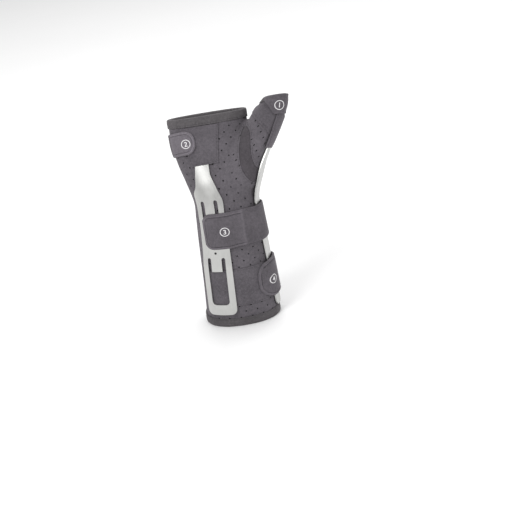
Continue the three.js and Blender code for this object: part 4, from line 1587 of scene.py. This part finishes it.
@dataclass
class Badge:
    """A strap's printed number in a ring."""

    number: str
    limb: Limb
    u: float
    s: float
    top: Cover
    ring: float = 4.9
    line: float = 0.72
    digit: float = 5.7
    raise_by: float = 0.12
    # How far the print reaches into the cloth, and half its thickness before it is laid on it
    sunk: float = 0.35
    half: float = 0.5
    # The type's size as a share of its digits' height, and how much bolder than its outline it is
    type_size: float = 1.25
    bolder: float = 0.06
    ring_sides: int = 48
    # Edges longer than this are cut in two, so that the print follows the cloth
    longest: float = 1.2
    # How far the print leans back with height and falls away across, on the skewed thumb strap
    lean: float = 0.0
    fall: float = 0.0

    def build(self, bench: Bench) -> Object:
        """Makes the print as one thin raised shape on the cloth.

        Args:
            bench: The bench that makes the mesh.

        Returns:
            The print.
        """
        bpy.ops.object.select_all(action="DESELECT")
        bpy.ops.object.text_add(location=(0, 0, 0))
        text = bpy.context.object
        text.data.body = self.number
        text.data.size = self.digit * self.type_size
        text.data.align_x = text.data.align_y = "CENTER"
        text.data.offset = self.bolder
        text.data.extrude = self.half
        bpy.ops.object.convert(target="MESH")
        low, high = (np.array(c) for c in (text.bound_box[0], text.bound_box[6]))
        middle = (low + high) / 2
        for vertex in text.data.vertices:
            vertex.co = Vector((vertex.co.x - middle[0], vertex.co.y - middle[1], vertex.co.z))
        mesh = bmesh.new()
        mesh.from_mesh(text.data)
        drop(text)
        around = np.linspace(0, 2 * math.pi, self.ring_sides, endpoint=False)
        inner, half = self.ring - self.line, self.half
        corners = [(self.ring, half), (inner, half), (inner, -half), (self.ring, -half)]
        rings = [[mesh.verts.new((r * math.cos(a), r * math.sin(a), z)) for a in around] for r, z in corners]
        for here, there in zip(rings, rings[1:] + rings[:1]):
            for i in range(self.ring_sides):
                j = (i + 1) % self.ring_sides
                mesh.faces.new((here[i], here[j], there[j], there[i]))
        bmesh.ops.triangulate(mesh, faces=mesh.faces)
        long = [e for e in mesh.edges if e.calc_length() > self.longest]
        bmesh.ops.subdivide_edges(mesh, edges=long, cuts=1)
        bmesh.ops.recalc_face_normals(mesh, faces=mesh.faces)
        flat = np.array([v.co for v in mesh.verts])
        u = self.u + flat[:, 0] - self.lean * flat[:, 1]
        s = self.s + flat[:, 1] - self.fall * flat[:, 0]
        height = self.top(u, s) + np.where(flat[:, 2] > 0, self.raise_by, -self.sunk)
        places = bench.metres(self.limb.wrap(u, s, height))
        for vertex, place in zip(mesh.verts, places):
            vertex.co = Vector(place)
        data = bpy.data.meshes.new(f"number_{self.number}_print")
        mesh.to_mesh(data)
        mesh.free()
        return placed(data.name, data)


@dataclass
class ThumbStrap:
    """The narrow padded strap that wraps the thumb limb, its tab cut to a slant."""

    tip: float = -12
    sewn: float = 46
    low: float = 216
    high: float = SIZES.thumb_top + 0.5
    # The lower edge at the tip and at the middle of the palm side, from where it comes down over the heel
    tip_low: float = 235
    knee_low: float = 223.8
    heel: float = 8
    tip_radius: float = 5.5
    # Length of the box of stitches at its sewn end
    box: float = 9.8

    def lower(self, u: Array) -> Array:
        """The strap's lower edge."""
        first = mix(self.tip_low, self.knee_low, np.clip((u - self.tip) / -self.tip, 0, 1))
        return np.where(u < 0, first, mix(self.knee_low, self.low, np.clip(u / self.heel, 0, 1)))

    def build(self, cloth: Cloth) -> list[Object]:
        """Makes the strap and sews its end.

        Args:
            cloth: The cloth maker, on the thumb's limb.

        Returns:
            The strap, then its thread.
        """
        u = self.tip + both_edges(self.sewn - self.tip, 1.4)
        low = self.lower(u)
        share = both_edges(self.high - self.low, 1.2) / (self.high - self.low)
        round_tip = rounded_inset(u - self.tip, self.tip_radius)
        low = np.minimum(low + 0.2 * round_tip, self.high - 0.6)
        high = np.maximum(self.high - 0.15 * round_tip, low + 0.5)
        s = mix(low[:, None], high[:, None], share[None, :])
        grid = np.repeat(u[:, None], len(share), axis=1)
        line = np.concatenate([np.stack([u, high], axis=1)[::-1], np.stack([u, low], axis=1)])[::2]

        def over(at_u: Array, at_s: Array) -> Array:
            """Thickness of the strap at a place."""
            return rounded_cloth(SIZES.thumb_strap, 0.3, 1.1, near_edge(at_u, at_s, line))

        pieces = [cloth.lay("thumb_closing_strap", grid, s, thumb_strap_base, over)]
        corners = box_corners(self.sewn, self.box, BOX_IN, self.low, self.high)
        height = lambda x, y: thumb_strap_base(x, y) + SIZES.thumb_strap - 0.15
        return pieces + sew_corners(cloth, "thumb_strap_box_stitch", corners, height)


@dataclass
class ThumbBand:
    """The triangle of loop cloth under the thumb strap, on the front of the thumb limb."""

    left: float = -22
    right: float = 15
    left_low: float = 223
    right_low: float = 196
    high: float = 229

    def grid(self) -> tuple[Array, Array]:
        """The band's grid of places round the limb and along it."""
        u = self.left + both_edges(self.right - self.left, 1.3)
        low = mix(self.left_low, self.right_low, (u - self.left) / (self.right - self.left))
        share = both_edges(self.high - self.right_low, 1.6) / (self.high - self.right_low)
        return np.repeat(u[:, None], len(share), axis=1), mix(low[:, None], self.high, share[None, :])

    def base(self, u: Array, _: Array) -> Array:
        """Height of the band's under face at a place."""
        return np.full(np.shape(u), SIZES.clearance)

    def build(self, cloth: Cloth) -> list[Object]:
        """Makes the band and sews its slanted edge.

        Args:
            cloth: The cloth maker, on the thumb's limb.

        Returns:
            The band, then its thread.
        """
        grid, s = self.grid()
        low = [(self.left, self.left_low), (self.right, self.right_low)]
        line = np.array([*low, (self.right, self.high), (self.left, self.high)])

        def over(at_u: Array, at_s: Array) -> Array:
            """Thickness of the band at a place."""
            return sewn_cloth(SIZES.patch, 0.2, near_edge(at_u, at_s, line))

        pieces = [cloth.lay("thumb_loop_band", grid, s, self.base, over)]
        corners = [(self.left + 2, self.left_low + 1.2), (self.right - 2, self.right_low + 3.4)]
        height = lambda x, y: np.full(x.shape, SIZES.clearance + SIZES.patch - 0.15)
        return pieces + sew_corners(cloth, "thumb_band_stitch", corners, height)


# Finishes


def linear(colour: str) -> tuple[float, float, float, float]:
    """An sRGB colour in hex as the linear colour that the shaders take."""
    parts = (int(colour[i : i + 2], 16) / 255 for i in (1, 3, 5))
    red, green, blue = (p / 12.92 if p <= 0.04045 else ((p + 0.055) / 1.055) ** 2.4 for p in parts)
    return red, green, blue, 1.0


@dataclass(frozen=True)
class ClothFinish:
    """How a cloth looks.

    Attributes:
        name: The material's name.
        colour: Its sRGB colour in hex.
        grain: Size of its fine grain in millimetres.
        knit: Width of its knitted loops in millimetres.
        relief: Depth of the grain in millimetres.
        roughness: How matt it is.
        sheen: How much its nap catches light.
        ribs: Spacing of its knitted ribs in millimetres, or 0 for none.
        turned: Whether the ribs run along the limb.
        holes: Whether it has the laminate's lattice of perforations.
    """

    name: str
    colour: str
    grain: float = 0.55
    knit: float = 0.8
    relief: float = 0.05
    roughness: float = 0.9
    sheen: float = 0.25
    ribs: float = 0.0
    turned: bool = False
    holes: bool = False


class Finish(Enum):
    """The cloths of the splint."""

    # Brushed polyester bonded to foam: a matt, faintly mottled face with punched air holes
    LAMINATE = ClothFinish("perforated_foam_laminate", "#5a565b", grain=0.7, relief=0.09, holes=True)
    # Ribbed nylon and elastane knit: darker, with fine lines that run up the thumb
    STRETCH = ClothFinish("ribbed_stretch_knit", "#474347", grain=0.4, ribs=1.5, turned=True, sheen=0.2)
    # Knitted polyamide tape: dull, with close ribs along the edge that it binds
    TAPE = ClothFinish("knitted_polyamide_tape", "#545153", grain=0.5, ribs=0.9, relief=0.06, sheen=0.15)
    # Brushed loop pile for the hooks: a soft nap that scatters light
    LOOP = ClothFinish("brushed_loop_pile", "#575358", grain=0.85, relief=0.12, sheen=0.3)
    # Loop-faced foam, heat-cut: smoother than the sleeve and lighter where it is pressed, with painted
    # highlight and shade on its tab's border, its fold and its edges
    STRAP = ClothFinish("heat_pressed_loop_laminate", "#565257", grain=0.6, relief=0.06)
    # Bonded polyester thread: a little smoother than the cloth round it
    THREAD = ClothFinish("bonded_polyester_thread", "#4b484c", grain=0.25, relief=0.02, roughness=0.65)


class Painter:
    """Makes the materials."""

    # The laminate's perforations in millimetres: pitch of the staggered lattice, radius and soft rim
    HOLE_PITCH = 12.7
    HOLE_RADIUS = 0.85
    HOLE_SOFT = 0.16
    # Depth of a hole, in the depths of the cloth's grain
    HOLE_DEPTH = -6.0
    # Sizes of the cloths' mottle and of their wide clouds, in millimetres
    MOTTLE = 2.6
    CLOUDS = 34
    # A cloth's darkest and lightest tone, as shares of its colour
    TONES = (0.55, 1.45)
    # Blender's wave texture makes this many turns in a length of one over its scale
    WAVE_TURNS = 20

    def __init__(self) -> None:
        """Starts with no material made."""
        self.made: dict[str, Material] = {}

    @staticmethod
    def node(
        tree: NodeTree,
        kind: str,
        links: dict[str | int, NodeSocket | Node] | None = None,
        **settings: object,
    ) -> Node:
        """Adds a node with its settings and links.

        Args:
            tree: The material's node tree.
            kind: The node's type without its common prefix.
            links: Sockets, or nodes for their first sockets, that feed its inputs, by name or number.
            **settings: Node properties, and input values under in_ and the input's number.

        Returns:
            The node.
        """
        node = tree.nodes.new(f"ShaderNode{kind}")
        for key, value in settings.items():
            if key.startswith("in_"):
                node.inputs[int(key[3:])].default_value = value
            else:
                setattr(node, key, value)
        Painter.feed(tree, node, links or {})
        return node

    @staticmethod
    def feed(
        tree: NodeTree, node: Node, links: dict[str | int, NodeSocket | Node]
    ) -> None:
        """Links sockets, or nodes' first sockets, to the inputs of a node."""
        for key, source in links.items():
            tree.links.new(source.outputs[0] if isinstance(source, Node) else source, node.inputs[key])

    def start(self, name: str) -> tuple[Material, NodeTree, Node]:
        """Starts a material and hands back its node tree and its shader."""
        material = bpy.data.materials.new(name)
        material.use_nodes = True
        tree = material.node_tree
        tree.nodes.clear()
        shader = self.node(tree, "BsdfPrincipled")
        self.node(tree, "OutputMaterial", {0: shader.outputs[0]})
        self.made[name] = material
        return material, tree, shader

    def holes(self, tree: NodeTree, flat: NodeSocket) -> NodeSocket:
        """Painted shade in the laminate's perforations: 1 in a hole and 0 beside it.

        Args:
            tree: The material's node tree.
            flat: The place on the cloth, in metres.

        Returns:
            The painted shade, from 0 to 1.
        """
        node = partial(self.node, tree)
        pitch, radius, soft = self.HOLE_PITCH * MM, self.HOLE_RADIUS, self.HOLE_SOFT
        cell = node("VectorMath", {0: flat}, operation="SCALE", in_3=1 / pitch)
        nearest = []
        for shift in (0.25, 0.75):
            moved = node("VectorMath", {0: cell}, operation="ADD", in_1=(shift, shift, 0))
            part = node("VectorMath", {0: moved}, operation="FRACTION")
            middle = node("VectorMath", {0: part}, operation="SUBTRACT", in_1=(0.5, 0.5, 0))
            level = node("VectorMath", {0: middle}, operation="MULTIPLY", in_1=(1, 1, 0))
            nearest.append(node("VectorMath", {0: level}, operation="LENGTH").outputs[1])
        least = node("Math", dict(enumerate(nearest)), operation="MINIMUM")
        size = node("Math", {0: least}, operation="MULTIPLY", in_1=pitch / MM)
        hole_shade = node(
            "MapRange", {0: size}, interpolation_type="SMOOTHSTEP",
            in_1=radius - soft, in_2=radius + soft, in_3=1, in_4=0,
        )
        return hole_shade.outputs[0]

    def cloth(self, finish: ClothFinish) -> Material:
        """Makes a cloth.

        Args:
            finish: How it looks.

        Returns:
            The material.
        """
        if finish.name in self.made:
            return self.made[finish.name]
        material, tree, shader = self.start(finish.name)
        node = partial(self.node, tree)
        flat = node("UVMap", uv_map="cloth").outputs[0]
        place = node("TexCoord").outputs["Object"]
        fine = node("TexNoise", {"Vector": place}, in_2=1 / (finish.grain * MM), in_3=2.0, in_4=0.6)
        mottle = node("TexNoise", {"Vector": place}, in_2=1 / (self.MOTTLE * MM), in_3=3.0, in_4=0.55)
        wide = node("TexNoise", {"Vector": place}, in_2=1 / (self.CLOUDS * MM), in_3=2.0, in_4=0.5)
        base = linear(finish.colour)
        dark, light = (tuple(c * k for c in base[:3]) + (1.0,) for k in self.TONES)
        shade = node("Math", {0: fine, 1: mottle}, operation="ADD")
        shade = node("Math", {0: shade, 1: wide}, operation="ADD")
        tone = node("MapRange", {0: shade}, in_1=0.95, in_2=2.05, in_3=-0.06, in_4=0.94)
        # The pressed tone and the painted highlight and shade that a piece carries on its upper face
        pressed = node("Attribute", attribute_name="tone_and_painted_light")
        tone = node("Math", {0: tone, 1: pressed.outputs[2]}, operation="ADD")
        knit = [
            node(
                "TexWave", {"Vector": flat}, wave_type="BANDS", bands_direction=way,
                in_1=2 * math.pi / (pitch * MM) / self.WAVE_TURNS, in_2=1.2, in_3=1.0, in_4=1.0,
            ).outputs[1]
            for way, pitch in (("X", finish.knit), ("Y", finish.knit * 1.25))
        ]
        loops = node("Math", {0: knit[0], 1: knit[1]}, operation="MULTIPLY")
        tone = node("Math", {0: loops, 2: tone}, operation="MULTIPLY_ADD", in_1=0.22)
        height = node("Math", {0: fine, 1: loops}, operation="ADD").outputs[0]
        if finish.ribs:
            turn = node(
                "TexWave", {"Vector": flat}, wave_type="BANDS",
                bands_direction="X" if finish.turned else "Y",
                in_1=2 * math.pi / (finish.ribs * MM) / self.WAVE_TURNS, in_2=0.6, in_3=2.0,
            )
            half = node("Math", {0: turn.outputs[1]}, operation="MULTIPLY", in_1=1.3)
            height = node("Math", {0: height, 1: half}, operation="ADD").outputs[0]
            ribbed = node("Math", {0: turn.outputs[1]}, operation="MULTIPLY_ADD", in_1=0.3, in_2=-0.15)
            tone = node("Math", {0: tone, 1: ribbed}, operation="ADD", use_clamp=True)
        blend = node("Mix", {0: tone}, data_type="RGBA", clamp_factor=False, in_6=dark, in_7=light)
        colour = blend.outputs[2]
        if finish.holes:
            seam = node("Attribute", attribute_name="plain")
            open_cloth = node("Math", {1: seam.outputs[2]}, operation="SUBTRACT", in_0=1.0, use_clamp=True)
            holes = {0: self.holes(tree, flat), 1: open_cloth}
            hole_shade = node("Math", holes, operation="MULTIPLY").outputs[0]
            # The holes are painted near-black: the shade down inside them
            colour = node("Mix", {0: hole_shade, 6: colour}, data_type="RGBA", in_7=linear("#141315")).outputs[2]
            deep = node("Math", {0: hole_shade}, operation="MULTIPLY", in_1=self.HOLE_DEPTH)
            height = node("Math", {0: height, 1: deep}, operation="ADD").outputs[0]
        bump = node("Bump", {"Height": height}, in_0=0.9, in_1=finish.relief * MM)
        low, high = finish.roughness - 0.08, finish.roughness + 0.05
        matt = node("MapRange", {0: mottle}, in_3=low, in_4=high)
        self.feed(tree, shader, {"Base Color": colour, "Normal": bump, "Roughness": matt})
        shader.inputs["Sheen Weight"].default_value = finish.sheen
        shader.inputs["Sheen Roughness"].default_value = 0.5
        shader.inputs["Sheen Tint"].default_value = linear("#bebabe")
        shader.inputs["Specular IOR Level"].default_value = 0.25
        return material

    def metal(self) -> Material:
        """Makes the stays' aluminium.

        Returns:
            The material: pale sheet, tumbled satin and faintly brushed along its length, so that highlights
            spread along it.
        """
        material, tree, shader = self.start("satin_brushed_aluminium")
        node = partial(self.node, tree)
        flat = node("UVMap", uv_map="cloth").outputs[0]
        long = node("VectorMath", {0: flat}, operation="MULTIPLY", in_1=(1, 0.03, 1))
        brush = node("TexNoise", {"Vector": long}, in_2=1 / (0.22 * MM), in_3=3.0, in_4=0.6)
        place = node("TexCoord").outputs["Object"]
        smudge = node("TexNoise", {"Vector": place}, in_2=1 / (22 * MM), in_3=3.0, in_4=0.55)
        both = node("Math", {0: brush, 1: smudge}, operation="ADD")
        matt = node("MapRange", {0: both}, in_1=0.7, in_2=1.3, in_3=0.3, in_4=0.46)
        tone = node("MapRange", {0: both}, in_1=0.6, in_2=1.4, in_3=0, in_4=1)
        colour = node("Mix", {0: tone}, data_type="RGBA", in_6=linear("#b4b4b2"), in_7=linear("#cacac8"))
        bump = node("Bump", {"Height": brush}, in_0=0.5, in_1=0.01 * MM)
        self.feed(tree, shader, {"Base Color": colour.outputs[2], "Normal": bump, "Roughness": matt})
        shader.inputs["Metallic"].default_value = 1.0
        return material

    def ink(self) -> Material:
        """Makes the badges' print.

        Returns:
            The material: rubbery white screen print, matt and a little uneven over the cloth.
        """
        material, tree, shader = self.start("white_screen_print")
        node = partial(self.node, tree)
        place = node("TexCoord").outputs["Object"]
        grain = node("TexNoise", {"Vector": place}, in_2=1 / (0.5 * MM), in_3=2.0, in_4=0.5)
        tone = node("MapRange", {0: grain}, in_1=0.35, in_2=0.65, in_3=0, in_4=1)
        colour = node("Mix", {0: tone}, data_type="RGBA", in_6=linear("#d0ced0"), in_7=linear("#f2f1f2"))
        bump = node("Bump", {"Height": grain}, in_0=0.6, in_1=0.03 * MM)
        self.feed(tree, shader, {"Base Color": colour.outputs[2], "Normal": bump})
        shader.inputs["Roughness"].default_value = 0.6
        return material


# The studio


class Studio:
    """The camera, the lights and the floor."""

    DISTANCE = 1.6
    TARGET = (10, 0, 120)
    ELEVATION = math.radians(20)
    ROLL = math.radians(9.3)
    LENS = 103.7
    SENSOR = 36.0
    SHIFT = (0.0385, -0.0871)
    # Each light's name, its place from the splint's middle and its side in metres, and its power in watts
    LIGHTS = (
        ("key_light", (-1.2, -1.4, 1.6), 1.2, 30),
        ("fill_light", (1.7, -1.2, 0.7), 1.6, 8),
        ("top_light", (0.3, 0.9, 1.8), 1.4, 22),
    )
    AIR = 0.62
    FLOOR = 6

    def __init__(self, bench: Bench) -> None:
        """Keeps the bench, for its origin."""
        self.target = bench.metres(np.array(self.TARGET, float))

    def camera(self) -> Object:
        """Sets the camera at the photograph's angle, its top leaning left."""
        data = bpy.data.cameras.new("camera")
        data.lens, data.sensor_width = self.LENS, self.SENSOR
        data.shift_x, data.shift_y = self.SHIFT
        camera = placed("camera", data)
        back = Vector((0, -math.cos(self.ELEVATION), math.sin(self.ELEVATION)))
        right, up = Vector((1, 0, 0)), Vector((0, math.sin(self.ELEVATION), math.cos(self.ELEVATION)))
        turned = right * math.cos(self.ROLL) - up * math.sin(self.ROLL)
        risen = right * math.sin(self.ROLL) + up * math.cos(self.ROLL)
        axes = Matrix((turned, risen, back)).transposed().to_4x4()
        camera.matrix_world = Matrix.Translation(Vector(self.target) + back * self.DISTANCE) @ axes
        bpy.context.scene.camera = camera
        return camera

    def light(self, name: str, place: tuple[float, float, float], size: float, power: float) -> None:
        """Adds a soft square light that faces the splint.

        Args:
            name: The light's name.
            place: Its place from the splint's middle, in metres.
            size: Its side in metres.
            power: Its power in watts.
        """
        data = bpy.data.lights.new(name, "AREA")
        data.shape, data.size, data.energy = "SQUARE", size, power
        obj = placed(name, data)
        obj.location = Vector(self.target) + Vector(place)
        obj.rotation_euler = (-Vector(place)).to_track_quat("-Z", "Y").to_euler()

    def build(self, painter: Painter) -> None:
        """Sets out the studio.

        Args:
            painter: Makes the floor's material.
        """
        self.camera()
        for light in self.LIGHTS:
            self.light(*light)
        world = bpy.data.worlds.new("studio_air")
        world.use_nodes = True
        ground = world.node_tree.nodes["Background"]
        ground.inputs[0].default_value = linear("#f6f6f6")
        ground.inputs[1].default_value = self.AIR
        bpy.context.scene.world = world
        bpy.context.scene.view_settings.view_transform = "Standard"
        bpy.ops.mesh.primitive_plane_add(size=self.FLOOR, location=(0, 0, 0))
        floor = bpy.context.object
        floor.name = "studio_floor"
        material, tree, shader = painter.start("white_studio_floor")
        place = painter.node(tree, "TexCoord").outputs["Object"]
        grain = painter.node(tree, "TexNoise", {"Vector": place}, in_2=3.0, in_3=2.0, in_4=0.5)
        low, high = linear("#f6f6f6"), linear("#fafafa")
        tone = painter.node(tree, "Mix", {0: grain.outputs[0]}, data_type="RGBA", in_6=low, in_7=high)
        tree.links.new(tone.outputs[2], shader.inputs["Base Color"])
        shader.inputs["Roughness"].default_value = 0.8
        floor.data.materials.append(material)


# The whole splint


class Splint:
    """Dresses every piece and hides the imported part that each replaces."""

    STRAPS = (
        # The hand strap's tab carries an extra painted highlight, as if it faced the light
        Strap("hand_closing_strap", "hand_strap", -16.3, -128, 188.3, 213.7, 11, 27, painted_tab_highlight=0.44),
        Strap("wrist_closing_strap", "wrist_strap", -27.2, 128, 90.5, 128, 8, 42),
        Strap("forearm_closing_strap", "forearm_strap", 21.5, 142, 24.5, 66, 17, 33),
    )
    SLOTS = {
        Finish.LAMINATE: "perforated_laminate",
        Finish.STRETCH: "stretch_cloth",
        Finish.TAPE: "binding_tape",
        Finish.LOOP: "loop_cloth",
        Finish.STRAP: "strap_laminate",
        Finish.THREAD: "binding_tape",
    }

    def __init__(self) -> None:
        """Sets up the bench, the cloth makers and the painter."""
        self.bench = Bench()
        self.painter = Painter()
        self.arm = Cloth(self.bench, ARM)
        self.thumb = Cloth(self.bench, THUMB_TUBE)
        self.count = 0

    def settle(self, obj: Object, material: Material) -> Object:
        """Gives a piece its material and its body, and reports it."""
        obj.data.materials.clear()
        obj.data.materials.append(material)
        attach(obj, ROOT)
        self.count += len(obj.data.polygons)
        LOG.info("%s: %d faces", obj.name, len(obj.data.polygons))
        return obj

    def dress(self, pieces: Sequence[Object], finish: Finish) -> None:
        """Gives a sewn piece its cloth, and the rest of the list, its rows of thread, theirs."""
        for number, piece in enumerate(pieces):
            worn = Finish.THREAD if number else finish
            self.settle(piece, self.painter.cloth(worn.value))

    def sleeve(self) -> None:
        """Makes the sleeve and the gusset."""
        body = Body(self.bench)
        sleeve, gusset = body.cut()
        self.dress([sleeve, body.seam(self.arm, sleeve)], Finish.LAMINATE)
        self.dress([gusset], Finish.STRETCH)
        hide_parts("sleeve")
        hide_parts("thenar_gusset")

    def tapes(self) -> None:
        """Binds the three open edges."""
        z = SIZES
        level = lambda value: lambda theta, height: np.full(np.shape(theta), float(value))
        for tape in (
            Tape("palm_edge_tape", "palm_binding", ARM, palm_edge, 8.5, 1),
            Tape("cuff_edge_tape", "cuff_binding", ARM, level(z.gap + z.tape), 8, -1),
            Tape("thumb_edge_tape", "thumb_binding", THUMB_TUBE, level(z.thumb_top), 4.5, 1, 120),
        ):
            pieces = tape.build(self.arm if tape.limb is ARM else self.thumb)
            self.dress(pieces, Finish.TAPE)
            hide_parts(tape.node)
            tape.flat()

    def patches(self) -> None:
        """Sews on the patches, the pocket and the thumb's band."""
        plain = lambda u, s: np.full(np.shape(u), SIZES.gap)
        three, four = ("low", "right", "left"), ("low", "right", "high", "left")
        palm = PatchPiece("palm_loop_patch", "palm_patch", PALM_PATCH, palm_patch_base, three)
        forearm = PatchPiece("forearm_loop_patch", "forearm_patch", FOREARM_PATCH, plain, four)
        pocket = PatchPiece("stay_pocket_cloth", "stay_pocket", STAY_POCKET, pocket_base, ("right", "left"))
        for cloth, piece, under in (
            (self.arm, palm, ("sleeve", "palm_stay")),
            (self.arm, forearm, ("sleeve",)),
            (self.thumb, pocket, ("thumb_band", "thumb_stay")),
        ):
            pieces = piece.build(cloth)
            self.dress(pieces, Finish.LOOP)
            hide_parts(piece.node)
            declare_cut(cloth.limb, *piece.grid(), piece.base, pieces, under)
        band = ThumbBand()
        pieces = band.build(self.thumb)
        self.dress(pieces, Finish.LOOP)
        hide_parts("thumb_band")
        declare_cut(THUMB_TUBE, *band.grid(), band.base, pieces, ("sleeve",))

    def straps(self) -> None:
        """Wraps the four straps."""
        for strap in self.STRAPS:
            pieces = strap.build(self.arm)
            self.dress(pieces, Finish.STRAP)
            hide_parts(strap.node)
        pieces = ThumbStrap().build(self.thumb)
        self.dress(pieces, Finish.STRAP)
        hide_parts("thumb_strap")

    def stays(self) -> None:
        """Forms the two stays."""
        work, metal = MetalWork(self.bench), self.painter.metal()
        for stay, node in ((work.palm_stay(), "palm_stay"), (work.thumb_stay(), "thumb_stay")):
            self.settle(stay, metal)
            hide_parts(node)

    def badges(self) -> None:
        """Prints the straps' numbers."""
        ink = self.painter.ink()
        hand, wrist, forearm = self.STRAPS
        thumb_top = lambda u, s: thumb_strap_base(u, s) + SIZES.thumb_strap
        for badge in (
            Badge("1", THUMB_TUBE, 9, 224.8, thumb_top, ring=5, digit=5.6, lean=0.42, fall=0.14),
            Badge("2", ARM, -25.9, 200, hand.top),
            Badge("3", ARM, -5.4, 110, wrist.top),
            Badge("4", ARM, 37.6, 43.4, forearm.top),
        ):
            self.settle(badge.build(self.bench), ink)

    def build(self) -> None:
        """Makes every piece."""
        for make in (self.sleeve, self.tapes, self.patches, self.straps, self.stays, self.badges):
            make()
        LOG.info("the whole splint: %d faces", self.count)


def main() -> None:
    """Builds the splint and its studio."""
    logging.basicConfig(level=logging.INFO, format="%(message)s")
    drop(*bpy.data.objects)
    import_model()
    splint = Splint()
    splint.build()
    Studio(splint.bench).build(splint.painter)


if __name__ == "__main__":
    main()
